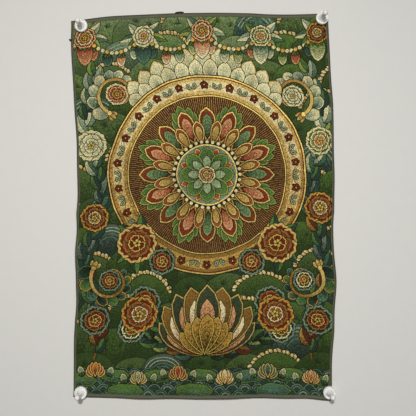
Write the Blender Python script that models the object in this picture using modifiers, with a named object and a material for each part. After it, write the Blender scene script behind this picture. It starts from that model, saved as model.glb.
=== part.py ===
"""A woven brocade picture cloth with bound edges, pinned flat to a wall at its four corners.

Units are metres and +Z is up. The wall is the plane y = 0 and the cloth hangs in front of it, on the
-Y side. The origin is the point of the wall midway between the two upper pins.
"""

import bisect
import math

import bpy
from mathutils import Vector

MM = 0.001

# Driving dimensions
CLOTH_WIDTH = 300.0 * MM
CLOTH_HEIGHT = 450.0 * MM
CLOTH_THICKNESS = 1.0 * MM
TAPE_THICKNESS = 0.5 * MM
TAPE_CHAMFER = 0.3 * MM
GAP = 0.3 * MM
BINDING_WIDTH_ENDS = 4.9 * MM
BINDING_WIDTH_SIDES = 2.6 * MM
COLUMNS = 24
ROWS = 38

BALL_RADIUS = 3.0 * MM
BALL_REACH = 16.8 * MM
BALL_STEPS = 7
NEEDLE_RADIUS = 0.6 * MM
NEEDLE_TAPER = 3.0 * MM
NEEDLE_DEPTH = 9.0 * MM
NEEDLE_SEAT = 8.5 * MM
PIN_STEPS = 20
HOLE_SIDES = 12

# The side of a pin head from its neck over the dished foot to the foot's back.
# Columns: radius, distance in front of the foot's back, in millimetres.
HEAD_SIDE = [(1.95, 8.5), (2.2, 7.1), (2.75, 5.5), (3.5, 4.1), (4.4, 2.7), (5.2, 1.6), (5.6, 1.5),
             (5.95, 2.0), (6.3, 2.65), (6.75, 2.82), (7.2, 2.6), (7.45, 1.9), (7.5, 0.35), (7.25, 0.0)]

# The panel's middle surface stands this far off the wall where the cloth is pressed to it.
PRESSED = TAPE_THICKNESS + GAP + CLOTH_THICKNESS / 2
EDGE_STACK = PRESSED + CLOTH_THICKNESS / 2 + GAP + TAPE_THICKNESS
HEAD_BACK = EDGE_STACK + GAP
TAPE_LEVEL = CLOTH_THICKNESS / 2 + GAP + TAPE_THICKNESS / 2
PANEL_INSET = TAPE_THICKNESS + GAP

# Corners of the hung cloth on the wall: x, z in millimetres
CORNERS = {
    "top_left": (-151.8, 2.0),
    "top_right": (146.7, 11.1),
    "bottom_left": (-149.2, -435.4),
    "bottom_right": (149.9, -440.0),
}

# How far each side bows away from the straight line between its corners.
# Columns: share of the side from its first corner, bow in millimetres (right or up).
LEFT_BOW = [(0.0, 0.0), (0.07, -0.5), (0.17, 1.8), (0.25, 3.9), (0.32, 5.4), (0.38, 5.6), (0.50, 6.3),
            (0.61, 4.8), (0.70, 3.6), (0.77, 4.0), (0.80, 2.6), (0.84, 1.0), (0.92, 0.5), (1.0, 0.0)]
RIGHT_BOW = [(0.0, 0.0), (0.10, 2.05), (0.17, 3.45), (0.24, 5.65), (0.40, 6.0), (0.50, 5.85), (0.55, 4.6),
             (0.62, 5.3), (0.69, 6.9), (0.76, 5.6), (0.82, 4.6), (0.90, 2.1), (0.97, 1.75), (0.985, 1.35),
             (1.0, 0.0)]
TOP_BOW = [(0.0, 0.0), (0.06, 1.8), (0.15, 4.2), (0.28, 4.9), (0.43, 4.6), (0.57, 4.5), (0.68, 2.8),
           (0.77, 0.5), (0.90, -0.2), (1.0, 0.0)]
BOTTOM_BOW = [(0.0, 0.0), (0.13, -0.5), (0.24, -0.7), (0.38, -0.6), (0.49, -0.7), (0.60, 1.2),
              (0.72, 2.0), (0.82, 1.55), (0.91, 2.0), (0.97, 0.45), (1.0, 0.0)]

# Places where the cloth stands off the wall.
# Columns: share across, share down, reach across, reach down (shares), lift in millimetres.
WAVES = [
    (0.00, 0.515, 0.085, 0.035, 4.6),
    (0.00, 0.615, 0.110, 0.050, 6.2),
    (0.00, 0.780, 0.060, 0.028, 2.6),
    (0.00, 0.240, 0.050, 0.050, 1.5),
    (1.00, 0.420, 0.070, 0.045, 2.2),
    (1.00, 0.690, 0.090, 0.055, 3.6),
    (1.00, 0.820, 0.050, 0.030, 1.4),
    (0.42, 0.000, 0.100, 0.040, 1.8),
    (0.74, 0.000, 0.080, 0.040, 1.2),
    (0.27, 1.000, 0.070, 0.035, 1.9),
    (0.60, 1.000, 0.080, 0.040, 2.4),
    (0.33, 0.330, 0.230, 0.160, 1.6),
    (0.68, 0.560, 0.200, 0.170, 2.0),
    (0.40, 0.800, 0.220, 0.090, 1.2),
]

# The cloth was stored folded in half, which left a soft ridge straight across it.
CREASE_SHARE = 0.511
CREASE_REACH = 4.5 * MM
CREASE_LIFT = 1.1 * MM

# Pins: x, z in millimetres, in the order upper left, upper right, lower left, lower right
PINS = [(-139.5, -4.4), (139.5, 4.4), (-140.1, -429.4), (148.0, -429.3)]
PRESSED_RADIUS = 13.0 * MM
FREE_RADIUS = 48.0 * MM


def smooth_step(value):
    value = min(1.0, max(0.0, value))
    return value * value * (3.0 - 2.0 * value)


def curve_value(rows, share):
    """A smooth curve through the rows of a table, read at a share from 0 to 1."""
    places = [row[0] for row in rows]
    values = [row[1] for row in rows]
    last = len(rows) - 1
    i = min(last - 1, max(0, bisect.bisect_right(places, share) - 1))

    def slope(k):
        before, after = max(0, k - 1), min(last, k + 1)
        return (values[after] - values[before]) / (places[after] - places[before])

    span = places[i + 1] - places[i]
    t = (share - places[i]) / span
    start_weight = 2 * t**3 - 3 * t**2 + 1
    end_weight = 3 * t**2 - 2 * t**3
    return (start_weight * values[i] + end_weight * values[i + 1]
            + (t**3 - 2 * t**2 + t) * span * slope(i)
            + (t**3 - t**2) * span * slope(i + 1))


def side_point(first, last, bow, share, sideways):
    """A point of one side of the hung outline: the straight line between corners, plus its bow."""
    x = CORNERS[first][0] * (1 - share) + CORNERS[last][0] * share
    z = CORNERS[first][1] * (1 - share) + CORNERS[last][1] * share
    offset = curve_value(bow, share)
    return Vector((x + offset, z)) if sideways else Vector((x, z + offset))


def outline_point(across, down):
    """The place on the wall, in metres, of the cloth's point at a share across and a share down."""
    left = side_point("top_left", "bottom_left", LEFT_BOW, down, True)
    right = side_point("top_right", "bottom_right", RIGHT_BOW, down, True)
    top = side_point("top_left", "top_right", TOP_BOW, across, False)
    bottom = side_point("bottom_left", "bottom_right", BOTTOM_BOW, across, False)
    upper = Vector(CORNERS["top_left"]).lerp(Vector(CORNERS["top_right"]), across)
    lower = Vector(CORNERS["bottom_left"]).lerp(Vector(CORNERS["bottom_right"]), across)
    point = left.lerp(right, across) + top.lerp(bottom, down) - upper.lerp(lower, down)
    return point * MM


def stand_off(across, down, x, z):
    """How far the panel's middle surface stands off the wall."""
    lift = 0.0
    for centre_x, centre_z, reach_x, reach_z, height in WAVES:
        square = ((across - centre_x) / reach_x) ** 2 + ((down - centre_z) / reach_z) ** 2
        lift += height * MM * math.exp(-square)
    crease_distance = (down - CREASE_SHARE) * CLOTH_HEIGHT
    lift += CREASE_LIFT * math.exp(-abs(crease_distance) / CREASE_REACH)
    for pin_x, pin_z in PINS:
        distance = math.hypot(x - pin_x * MM, z - pin_z * MM)
        lift *= smooth_step((distance - PRESSED_RADIUS) / (FREE_RADIUS - PRESSED_RADIUS))
    return PRESSED + lift


def cloth_point(across, down, level=0.0):
    """A point of the hung cloth. The level is the distance behind the panel's middle surface."""
    x, z = outline_point(across, down)
    return Vector((x, level - stand_off(across, down, x, z), z))


def material(name, colour, roughness, metallic=0.0):
    mat = bpy.data.materials.new(name)
    mat.use_nodes = True
    shader = mat.node_tree.nodes["Principled BSDF"]
    shader.inputs["Base Color"].default_value = (*colour, 1.0)
    shader.inputs["Roughness"].default_value = roughness
    shader.inputs["Metallic"].default_value = metallic
    return mat


def collection(name):
    group = bpy.data.collections.new(name)
    bpy.context.scene.collection.children.link(group)
    return group


def move_to(obj, group):
    for owner in obj.users_collection:
        owner.objects.unlink(obj)
    group.objects.link(obj)


def bent_grid(name, rows, columns, point, group, mat):
    """A grid of rows by columns of faces, each corner placed by the function point(row, column)."""
    bpy.ops.mesh.primitive_grid_add(x_subdivisions=columns, y_subdivisions=rows, size=2)
    obj = bpy.context.object
    obj.name = obj.data.name = name
    for vertex in obj.data.vertices:
        column = round((vertex.co.x + 1) / 2 * columns)
        row = round((1 - vertex.co.y) / 2 * rows)
        vertex.co = point(row, column)
    move_to(obj, group)
    obj.data.materials.append(mat)
    obj.data.shade_smooth()
    return obj


def solidify(obj, thickness):
    modifier = obj.modifiers.new("thickness", "SOLIDIFY")
    modifier.thickness = thickness
    modifier.offset = 0.0
    modifier.use_even_offset = True


def grid_lines(length, band, count):
    """Shares of the grid lines along one direction: the panel's edge, the binding's edge, the rest."""
    inset = PANEL_INSET / length
    inner = band / length
    middle = [inner + (1 - 2 * inner) * k / count for k in range(count + 1)]
    return [inset] + middle + [1 - inset]


def down_lines():
    """The panel's lines from top to bottom, moved so that one of them runs along the crease."""
    shift = 4 * (CREASE_SHARE - 0.5)
    return [share + shift * share * (1 - share)
            for share in grid_lines(CLOTH_HEIGHT, BINDING_WIDTH_ENDS, ROWS)]


def panel(group, cutters, mat):
    across = grid_lines(CLOTH_WIDTH, BINDING_WIDTH_SIDES, COLUMNS)
    down = down_lines()

    def point(row, column):
        return cloth_point(across[column], down[row])

    obj = bent_grid("cloth_panel", len(down) - 1, len(across) - 1, point, group, mat)
    solidify(obj, CLOTH_THICKNESS)
    for number, pin in enumerate(PINS, start=1):
        hole = obj.modifiers.new(f"needle hole {number}", "BOOLEAN")
        hole.object = hole_cutter(f"needle_hole_{number}", pin, cutters)
        hole.solver = "EXACT"


def hole_cutter(name, pin, group):
    """A round cutter through the cloth where it is pressed to the wall, its axis along Y."""
    bpy.ops.mesh.primitive_cylinder_add(vertices=HOLE_SIDES, radius=NEEDLE_RADIUS + GAP,
                                        depth=4 * CLOTH_THICKNESS,
                                        location=(pin[0] * MM, -PRESSED, pin[1] * MM),
                                        rotation=(math.pi / 2, 0, 0))
    obj = bpy.context.object
    obj.name = name
    move_to(obj, group)
    obj.hide_render = True
    obj.display_type = "WIRE"
    return obj


def binding_section(width):
    """The folded tape seen end on: distance in from the cloth's edge, level behind the cloth."""
    fold = TAPE_THICKNESS / 2
    front = [
        (width, -TAPE_LEVEL),
        (fold + TAPE_CHAMFER, -TAPE_LEVEL),
        (fold, TAPE_CHAMFER - TAPE_LEVEL),
    ]
    back = [(inward, -level) for inward, level in reversed(front)]
    return front + back


def binding(name, width, lines, place, group, mat):
    """One side's tape, folded over the edge. place(line, inward, level) gives a point on it."""
    section = binding_section(width)

    def point(row, column):
        inward, level = section[column]
        return place(lines[row], inward, level)

    obj = bent_grid(name, len(lines) - 1, len(section) - 1, point, group, mat)
    solidify(obj, TAPE_THICKNESS)


def bindings(group, mat):
    ends = [0.0] + grid_lines(CLOTH_WIDTH, BINDING_WIDTH_SIDES, COLUMNS)[1:-1] + [1.0]
    corner = (BINDING_WIDTH_ENDS + GAP) / CLOTH_HEIGHT
    sides = [corner] + down_lines()[2:-2] + [1 - corner]
    binding("binding_top", BINDING_WIDTH_ENDS, ends,
            lambda share, inward, level: cloth_point(share, inward / CLOTH_HEIGHT, level), group, mat)
    binding("binding_bottom", BINDING_WIDTH_ENDS, ends,
            lambda share, inward, level: cloth_point(share, 1 - inward / CLOTH_HEIGHT, level), group, mat)
    binding("binding_left", BINDING_WIDTH_SIDES, sides,
            lambda share, inward, level: cloth_point(inward / CLOTH_WIDTH, share, level), group, mat)
    binding("binding_right", BINDING_WIDTH_SIDES, sides,
            lambda share, inward, level: cloth_point(1 - inward / CLOTH_WIDTH, share, level), group, mat)


def head_profile():
    """The pin head from its ball, down its outer side, to its foot and in to the needle's socket."""
    neck_radius = HEAD_SIDE[0][0] * MM
    ball_end = math.pi - math.asin(neck_radius / BALL_RADIUS)
    ball = [(0.0, BALL_REACH + BALL_RADIUS)]
    for step in range(1, BALL_STEPS + 1):
        angle = ball_end * step / BALL_STEPS
        ball.append((BALL_RADIUS * math.sin(angle), BALL_REACH + BALL_RADIUS * math.cos(angle)))
    side = [(radius * MM, HEAD_BACK + reach * MM) for radius, reach in HEAD_SIDE]
    socket = [
        (NEEDLE_RADIUS + GAP, HEAD_BACK),
        (NEEDLE_RADIUS + GAP, NEEDLE_SEAT + GAP),
        (0.0, NEEDLE_SEAT + GAP),
    ]
    return ball + side + socket


def needle_profile():
    """The steel needle from its flat end in the head to its point in the wall."""
    return [
        (0.0, NEEDLE_SEAT),
        (NEEDLE_RADIUS, NEEDLE_SEAT),
        (NEEDLE_RADIUS, NEEDLE_TAPER - NEEDLE_DEPTH),
        (0.0, -NEEDLE_DEPTH),
    ]


def turned(name, profile, pin, group, mat):
    """A turned piece of one pin. Its axis points out of the wall, towards the viewer."""
    mesh = bpy.data.meshes.new(name)
    vertices = [(radius, 0.0, reach) for radius, reach in profile]
    mesh.from_pydata(vertices, [(k, k + 1) for k in range(len(profile) - 1)], [])
    mesh.materials.append(mat)
    obj = bpy.data.objects.new(name, mesh)
    group.objects.link(obj)
    screw = obj.modifiers.new("turning", "SCREW")
    screw.axis = "Z"
    screw.steps = PIN_STEPS
    screw.render_steps = PIN_STEPS
    screw.use_merge_vertices = True
    screw.merge_threshold = 0.00001
    screw.use_smooth_shade = True
    obj.location = (pin[0] * MM, 0.0, pin[1] * MM)
    obj.rotation_euler = (math.pi / 2, 0.0, 0.0)


def build():
    for obj in list(bpy.data.objects):
        bpy.data.objects.remove(obj)
    pieces = collection("pinned brocade thangka")
    cutters = collection("cutters")
    woven = material("woven brocade", (0.12, 0.17, 0.07), 0.7)
    tape = material("edge binding", (0.07, 0.06, 0.045), 0.85)
    plastic = material("white plastic", (0.83, 0.82, 0.77), 0.35)
    steel = material("needle steel", (0.6, 0.6, 0.6), 0.3, metallic=1.0)
    panel(pieces, cutters, woven)
    bindings(pieces, tape)
    for number, pin in enumerate(PINS, start=1):
        turned(f"pin_head_{number}", head_profile(), pin, pieces, plastic)
        turned(f"pin_needle_{number}", needle_profile(), pin, pieces, steel)


build()
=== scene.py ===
"""The looks of a pinned woven brocade: the picture cloth, its overcast edging and its wall pins.

The cloth's own measure is used for the woven design: millimetres across from its left edge and down
from its upper edge. hung_points turns such places into the shape in which the cloth hangs.
"""

import math
from collections import namedtuple

import bmesh
import bpy
import numpy as np
from mathutils import Matrix, Vector
from mathutils.geometry import delaunay_2d_cdt


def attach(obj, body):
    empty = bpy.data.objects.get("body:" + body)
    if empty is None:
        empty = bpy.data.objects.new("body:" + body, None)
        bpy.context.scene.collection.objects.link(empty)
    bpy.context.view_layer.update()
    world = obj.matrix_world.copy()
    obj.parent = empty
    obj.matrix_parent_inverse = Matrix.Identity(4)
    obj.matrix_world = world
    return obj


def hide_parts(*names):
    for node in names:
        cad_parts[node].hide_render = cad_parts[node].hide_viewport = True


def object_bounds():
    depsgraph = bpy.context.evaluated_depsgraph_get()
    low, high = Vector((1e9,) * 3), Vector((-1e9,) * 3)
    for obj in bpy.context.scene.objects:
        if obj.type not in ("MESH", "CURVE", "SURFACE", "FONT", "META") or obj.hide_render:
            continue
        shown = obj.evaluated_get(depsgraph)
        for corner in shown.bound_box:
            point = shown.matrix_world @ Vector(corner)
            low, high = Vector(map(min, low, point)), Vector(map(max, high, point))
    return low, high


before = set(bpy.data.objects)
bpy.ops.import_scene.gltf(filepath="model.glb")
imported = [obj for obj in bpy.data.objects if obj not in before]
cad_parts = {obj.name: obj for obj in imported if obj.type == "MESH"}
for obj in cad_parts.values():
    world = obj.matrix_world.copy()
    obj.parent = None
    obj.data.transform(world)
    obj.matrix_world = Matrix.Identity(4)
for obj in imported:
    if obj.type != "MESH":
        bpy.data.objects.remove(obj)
cad_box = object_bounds()

MM = 0.001
CLOTH_WIDTH = 300.0
CLOTH_HEIGHT = 450.0
CLOTH_THICKNESS = 0.9

# The hung outline, as in the solid: corners in millimetres on the wall, x and z
CORNERS = {
    "top_left": (-151.8, 2.0),
    "top_right": (146.7, 11.1),
    "bottom_left": (-149.2, -435.4),
    "bottom_right": (149.9, -440.0),
}
# Columns: share of the side from its first corner, bow in millimetres (right or up)
LEFT_BOW = [(0.0, 0.0), (0.07, -0.5), (0.17, 1.8), (0.25, 3.9), (0.32, 5.4), (0.38, 5.6), (0.50, 6.3),
            (0.61, 4.8), (0.70, 3.6), (0.77, 4.0), (0.80, 2.6), (0.84, 1.0), (0.92, 0.5), (1.0, 0.0)]
RIGHT_BOW = [(0.0, 0.0), (0.10, 2.05), (0.17, 3.45), (0.24, 5.65), (0.40, 6.0), (0.50, 5.85), (0.55, 4.6),
             (0.62, 5.3), (0.69, 6.9), (0.76, 5.6), (0.82, 4.6), (0.90, 2.1), (0.97, 1.75), (0.985, 1.35),
             (1.0, 0.0)]
TOP_BOW = [(0.0, 0.0), (0.06, 1.8), (0.15, 4.2), (0.28, 4.9), (0.43, 4.6), (0.57, 4.5), (0.68, 2.8),
           (0.77, 0.5), (0.90, -0.2), (1.0, 0.0)]
BOTTOM_BOW = [(0.0, 0.0), (0.13, -0.5), (0.24, -0.7), (0.38, -0.6), (0.49, -0.7), (0.60, 1.2),
              (0.72, 2.0), (0.82, 1.55), (0.91, 2.0), (0.97, 0.45), (1.0, 0.0)]
# Columns: share across, share down, reach across, reach down (shares), lift off the wall in millimetres
WAVES = [
    (0.00, 0.515, 0.085, 0.035, 4.6),
    (0.00, 0.615, 0.110, 0.050, 6.2),
    (0.00, 0.780, 0.060, 0.028, 2.6),
    (0.00, 0.240, 0.050, 0.050, 1.5),
    (1.00, 0.420, 0.070, 0.045, 2.2),
    (1.00, 0.690, 0.090, 0.055, 3.6),
    (1.00, 0.820, 0.050, 0.030, 1.4),
    (0.42, 0.000, 0.100, 0.040, 1.8),
    (0.74, 0.000, 0.080, 0.040, 1.2),
    (0.27, 1.000, 0.070, 0.035, 1.9),
    (0.60, 1.000, 0.080, 0.040, 2.4),
    (0.33, 0.330, 0.230, 0.160, 1.6),
    (0.68, 0.560, 0.200, 0.170, 2.0),
    (0.40, 0.800, 0.220, 0.090, 1.2),
]
PRESSED = 1.3
CREASE_SHARE = 0.511
CREASE_REACH = 4.5
CREASE_LIFT = 1.1
PINS = [(-139.5, -4.4), (139.5, 4.4), (-140.1, -429.4), (148.0, -429.3)]
PRESSED_RADIUS = 13.0
FREE_RADIUS = 48.0
NEEDLE_HOLE = 0.8
NEEDLE_HOLE_SIDES = 12
# The picture cloth ends inside its edging, this far in from the cut edge
SHEET_EDGE = 0.6
SHEET_END = (CLOTH_WIDTH - SHEET_EDGE, CLOTH_HEIGHT - SHEET_EDGE)
FACE_STEP = 6.0
BACK_STEP = 3.0
RIM_STEPS = 80
CREASE_ROWS = (-6.0, -2.5, 0.0, 2.5, 6.0)
CREASE_STEP = 4.0
PLACE_ROUNDS = 12


def curve_values(rows, shares):
    """A smooth curve through the rows of a table, read at many shares from 0 to 1."""
    places = np.array([row[0] for row in rows])
    values = np.array([row[1] for row in rows])
    slopes = np.empty(len(rows))
    slopes[1:-1] = (values[2:] - values[:-2]) / (places[2:] - places[:-2])
    slopes[0] = (values[1] - values[0]) / (places[1] - places[0])
    slopes[-1] = (values[-1] - values[-2]) / (places[-1] - places[-2])
    i = np.clip(np.searchsorted(places, shares, side="right") - 1, 0, len(rows) - 2)
    span = places[i + 1] - places[i]
    t = (shares - places[i]) / span
    return ((2 * t**3 - 3 * t**2 + 1) * values[i] + (3 * t**2 - 2 * t**3) * values[i + 1]
            + (t**3 - 2 * t**2 + t) * span * slopes[i] + (t**3 - t**2) * span * slopes[i + 1])


def hung_points(places, levels):
    """World points in metres of cloth places (across, down), each level millimetres behind its middle."""
    places = np.asarray(places, float).reshape(-1, 2)
    across = places[:, 0] / CLOTH_WIDTH
    down = places[:, 1] / CLOTH_HEIGHT
    corner = {name: np.array(xz) for name, xz in CORNERS.items()}
    left = np.outer(1 - down, corner["top_left"]) + np.outer(down, corner["bottom_left"])
    right = np.outer(1 - down, corner["top_right"]) + np.outer(down, corner["bottom_right"])
    flat = left * (1 - across)[:, None] + right * across[:, None]
    x = flat[:, 0] + (1 - across) * curve_values(LEFT_BOW, down) + across * curve_values(RIGHT_BOW, down)
    z = flat[:, 1] + (1 - down) * curve_values(TOP_BOW, across) + down * curve_values(BOTTOM_BOW, across)
    lift = CREASE_LIFT * np.exp(-np.abs(down - CREASE_SHARE) * CLOTH_HEIGHT / CREASE_REACH)
    for centre_x, centre_z, reach_x, reach_z, height in WAVES:
        lift += height * np.exp(-((across - centre_x) / reach_x) ** 2 - ((down - centre_z) / reach_z) ** 2)
    for pin_x, pin_z in PINS:
        free = (np.hypot(x - pin_x, z - pin_z) - PRESSED_RADIUS) / (FREE_RADIUS - PRESSED_RADIUS)
        free = np.clip(free, 0, 1)
        lift *= free * free * (3 - 2 * free)
    y = np.asarray(levels, float) - PRESSED - lift
    return np.stack([x, y, z], axis=1) * MM


def place_of(x, z):
    """The cloth place, in its own millimetres, that hangs at a point of the wall."""
    place = np.array([x - CORNERS["top_left"][0], CORNERS["top_left"][1] - z])
    for _ in range(PLACE_ROUNDS):
        hung = hung_points([place], 0.0)[0] / MM
        place += (x - hung[0], hung[2] - z)
    return place


# Dyes of the yarns, as eight-bit display colours
GROUND_PALE = (92, 112, 62)
GROUND_MIDDLE = (58, 79, 38)
GROUND_DEEP = (44, 60, 26)
GROUND_INK = (30, 42, 16)
INK = (26, 27, 10)
CREAM = (204, 192, 140)
IVORY = (214, 204, 156)
PALE_GOLD = (188, 160, 88)
GOLD = (166, 128, 54)
OLD_GOLD = (126, 92, 40)
PLUM = (60, 36, 26)
BROWN = (80, 50, 30)
MAROON = (76, 28, 12)
RED = (122, 42, 22)
BRICK = (150, 74, 42)
ORANGE = (184, 106, 46)
PINK = (194, 144, 98)
SLATE = (106, 122, 98)
DEEP_BLUE = (36, 48, 46)
TEAL = (38, 62, 44)
SEA = (76, 106, 80)
MIST = (148, 158, 124)
LEAF = (84, 112, 48)
LIME = (142, 146, 72)
YELLOW = (188, 160, 74)

ROOM_LIGHT = 0.91

Dye = namedtuple("Dye", "near far start end shine_near shine_far worms rays grain")


def linear(colour):
    """An eight-bit display colour as the linear colour of the yarn under the room's light."""
    return [min(1.0, ((c / 255 + 0.055) / 1.055) ** 2.4 / ROOM_LIGHT) for c in colour]


def between(colour, other, share):
    """The colour that lies a share of the way to the other one."""
    return tuple(a + (b - a) * share for a, b in zip(colour, other))


def plain(colour, shine=0.0, rays=0.0):
    """One yarn. Its shine, from 0 to 1, is the share of metal thread in it."""
    return Dye(colour, colour, (0, 0), (0, 1), shine, shine, 0.0, rays, 0.0)


def shaded(near, far, start, end, shine_near=0.0, shine_far=0.0, worms=0.0, grain=0.75):
    """Two yarns mixed thread by thread, from the near one at the start to the far one at the end."""
    return Dye(near, far, start, end, shine_near, shine_far, worms, 0.0, grain)


LINE = plain(INK)


def polar(centre, angle, radius):
    """A place at an angle, clockwise from straight up, and a distance from a centre."""
    return (centre[0] + radius * math.sin(angle), centre[1] - radius * math.cos(angle))


def disc(centre, radius, sides=None):
    """A round outline, with more sides the larger it is."""
    sides = sides or max(9, min(160, int(7 + radius * 2.2)))
    return [(centre[0] + radius * math.cos(math.tau * k / sides),
             centre[1] + radius * math.sin(math.tau * k / sides)) for k in range(sides)]


def full_width(level):
    """The outline of all of the cloth that lies below a level."""
    return [(0, level), (CLOTH_WIDTH, level), (CLOTH_WIDTH, CLOTH_HEIGHT), (0, CLOTH_HEIGHT)]


def signed_area(outline):
    """An outline's area, below zero where it runs the other way round."""
    return sum(a[0] * b[1] - b[0] * a[1] for a, b in zip(outline, outline[1:] + outline[:1])) / 2


def tip_of(outline):
    """The far end of a blade's outline."""
    return outline[len(outline) // 2]


def grow(outline, distance):
    """The outline moved outwards, or inwards where the distance is negative."""
    if signed_area(outline) < 0:
        outline = outline[::-1]
    least_spread, doubled_back = 0.45, 1e-6
    moved = []
    count = len(outline)
    for k in range(count):
        before, here, after = (Vector(outline[(k + i) % count]) for i in (-1, 0, 1))
        first, second = (here - before).normalized(), (after - here).normalized()
        normal = Vector((first.y + second.y, -first.x - second.x))
        if normal.length < doubled_back:
            normal = Vector((first.x, first.y))
        normal.normalize()
        spread = max(least_spread, normal.dot(Vector((first.y, -first.x))))
        moved.append(tuple(here + normal * distance / spread))
    return moved


def blade(foot, angle, length, width, bend=0.0, belly=0.5, full=0.8, steps=8):
    """A petal or leaf: pointed at both ends, widest at its belly's share, its midline bent."""
    power = math.log(0.5) / math.log(belly)
    left, right = [], []
    point = Vector(foot)
    for k in range(1, steps + 1):
        share = k / steps
        heading = angle + bend * share
        point = point + Vector((math.sin(heading), -math.cos(heading))) * (length / steps)
        if k < steps:
            half = width / 2 * math.sin(math.pi * share**power) ** full
            side = Vector((math.cos(heading), math.sin(heading))) * half
            left.append(tuple(point - side))
            right.append(tuple(point + side))
    return [tuple(foot), *left, tuple(point), *right[::-1]]


def spiral(start, angle, length, turn, steps):
    """A path that sets out at an angle and turns evenly along its length."""
    path = [tuple(start)]
    point = Vector(start)
    for k in range(1, steps + 1):
        heading = angle + turn * ((k - 0.5) / steps)
        point = point + Vector((math.sin(heading), -math.cos(heading))) * (length / steps)
        path.append(tuple(point))
    return path


def clipped(outline):
    """The part of an outline that lies on the sheet."""
    for axis in (0, 1):
        for limit, side in ((SHEET_EDGE, 1), (SHEET_END[axis], -1)):
            if all((point[axis] - limit) * side >= 0 for point in outline):
                continue
            kept = []
            for here, after in zip(outline, outline[1:] + outline[:1]):
                first, second = (here[axis] - limit) * side, (after[axis] - limit) * side
                if first >= 0:
                    kept.append(tuple(here))
                if (first >= 0) != (second >= 0):
                    share = first / (first - second)
                    kept.append(tuple(h + (a - h) * share for h, a in zip(here, after)))
            outline = kept
    return outline


def warped(u, v):
    """A place of the drawing, moved by the small unevenness of the weaver's beat and tension."""
    return (u + 0.7 * math.sin(v / 19.0 + 1.3) + 0.3 * math.sin((u + v) / 7.3),
            v + 0.6 * math.sin(u / 23.0 + 0.4) + 0.3 * math.sin((u - v) / 6.1))


class Weaving:
    """The woven design: flat shapes in cloth places, each painted over the ones before it."""

    def __init__(self):
        self.outlines = []
        self.dyes = []

    def fill(self, outline, dye):
        outline = clipped([warped(u, v) for u, v in outline])
        if len(outline) > 2:
            self.outlines.append(np.array(outline))
            self.dyes.append(dye)

    def motif(self, outline, dye, rim=None, line=0.8, rim_width=0.8):
        """A shape with a dark line round it and, where rim is given, a pale line inside that."""
        self.fill(grow(outline, line), LINE)
        if rim:
            self.fill(outline, rim)
            self.fill(grow(outline, -rim_width), dye)
        else:
            self.fill(outline, dye)

    def line(self, path, width, dye, taper=1.0):
        """A line along a path, made of short quads. Its far end is taper times as wide."""
        last = len(path) - 1
        sides = []
        for k, here in enumerate(path):
            before, after = Vector(path[max(0, k - 1)]), Vector(path[min(last, k + 1)])
            along = (after - before).normalized()
            half = width / 2 * (1 + (taper - 1) * k / last)
            across = Vector((-along.y, along.x)) * half
            sides.append((tuple(Vector(here) - across), tuple(Vector(here) + across)))
        for (a, b), (c, d) in zip(sides, sides[1:]):
            self.fill([a, c, d, b], dye)


def petal(cloth, foot, angle, length, width, near, far, rim=None, **form):
    """A pointed petal with a dark line round it. Returns its tip."""
    outline = blade(foot, angle, length, width, **form)
    cloth.motif(outline, shaded(near, far, foot, tip_of(outline)), rim)
    return tip_of(outline)


def pearl(cloth, centre, radius, colour=CREAM, shine=0.0):
    """A small round bead with a dark line round it."""
    sides = 10
    cloth.fill(disc(centre, radius + 0.6, sides), LINE)
    cloth.fill(disc(centre, radius, sides), plain(colour, shine))


def arc(centre, angle, radius, swing):
    """A short path round a centre, from one side of an angle to the other."""
    return [polar(centre, angle + swing * share, radius) for share in (-1.0, -0.5, 0.0, 0.5, 1.0)]


def fanned(rows):
    """The rows of a table for the left and the right, or once where their first value, the turn, is 0."""
    return [(side, *row) for row in rows for side in ((-1, 1) if row[0] else (1,))]


def scallop(centre, angle, inner, outer, spread):
    """A broad petal of a round flower, its outer edge in three soft lobes."""
    lobes = 3
    steps = 4 * lobes
    outline = [polar(centre, angle, inner)]
    for k in range(steps + 1):
        swing = 2 * k / steps - 1
        ripple = 0.045 * (math.cos(math.pi * lobes * (swing + 1)) + 1)
        outline.append(polar(centre, angle + swing * spread, outer * (1 - 0.16 * abs(swing) ** 3 - ripple)))
    return outline


# Round flowers, ring by ring from outside: the petals' foot, their outer part, their edge
ROSE = ((BRICK, PINK, CREAM), (RED, BRICK, PINK), (MAROON, ORANGE, YELLOW))
PALE = ((SEA, IVORY, CREAM), (MIST, IVORY, CREAM), (SLATE, CREAM, IVORY))
FRESH = ((TEAL, LIME, CREAM), (LEAF, LIME, CREAM), (BRICK, PINK, CREAM))
EMBER = ((MAROON, RED, GOLD), (MAROON, BRICK, OLD_GOLD), (MAROON, GOLD, CREAM))
SMOKE = ((INK, TEAL, SLATE), (MAROON, RED, OLD_GOLD), (MAROON, BRICK, PALE_GOLD))
BLOOD = ((MAROON, RED, PALE_GOLD), (MAROON, BRICK, OLD_GOLD), (MAROON, RED, YELLOW))
DUSK = ((INK, TEAL, SLATE), (INK, SEA, CREAM), (MAROON, BRICK, YELLOW))


def peony(cloth, centre, radius, tones, turn=0.0):
    """A full round flower: rings of lobed petals, deep at the foot and pale at the edge."""
    veined_from = 9.0
    for number, (share, count, spread) in enumerate(((1.0, 7, 0.60), (0.72, 6, 0.66), (0.45, 5, 0.74))):
        deep, pale, edge = tones[number % len(tones)]
        outer = radius * share
        for k in range(count):
            angle = turn + number * 0.5 + math.tau * k / count
            foot, tip = polar(centre, angle, outer * 0.3), polar(centre, angle, outer)
            cloth.motif(scallop(centre, angle, 0.0, outer, spread), plain(edge))
            cloth.fill(scallop(centre, angle, outer * 0.06, outer * 0.88, spread * 0.84),
                       shaded(deep, pale, foot, tip, grain=0.6))
            if outer > veined_from:
                cloth.line(arc(centre, angle, outer * 0.76, spread * 0.5), 0.7, plain(deep))
    stamens = 5
    for k in range(stamens):
        place = polar(centre, turn + math.tau * k / stamens, radius * 0.13)
        pearl(cloth, place, radius * 0.07, YELLOW, 0.5)


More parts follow.
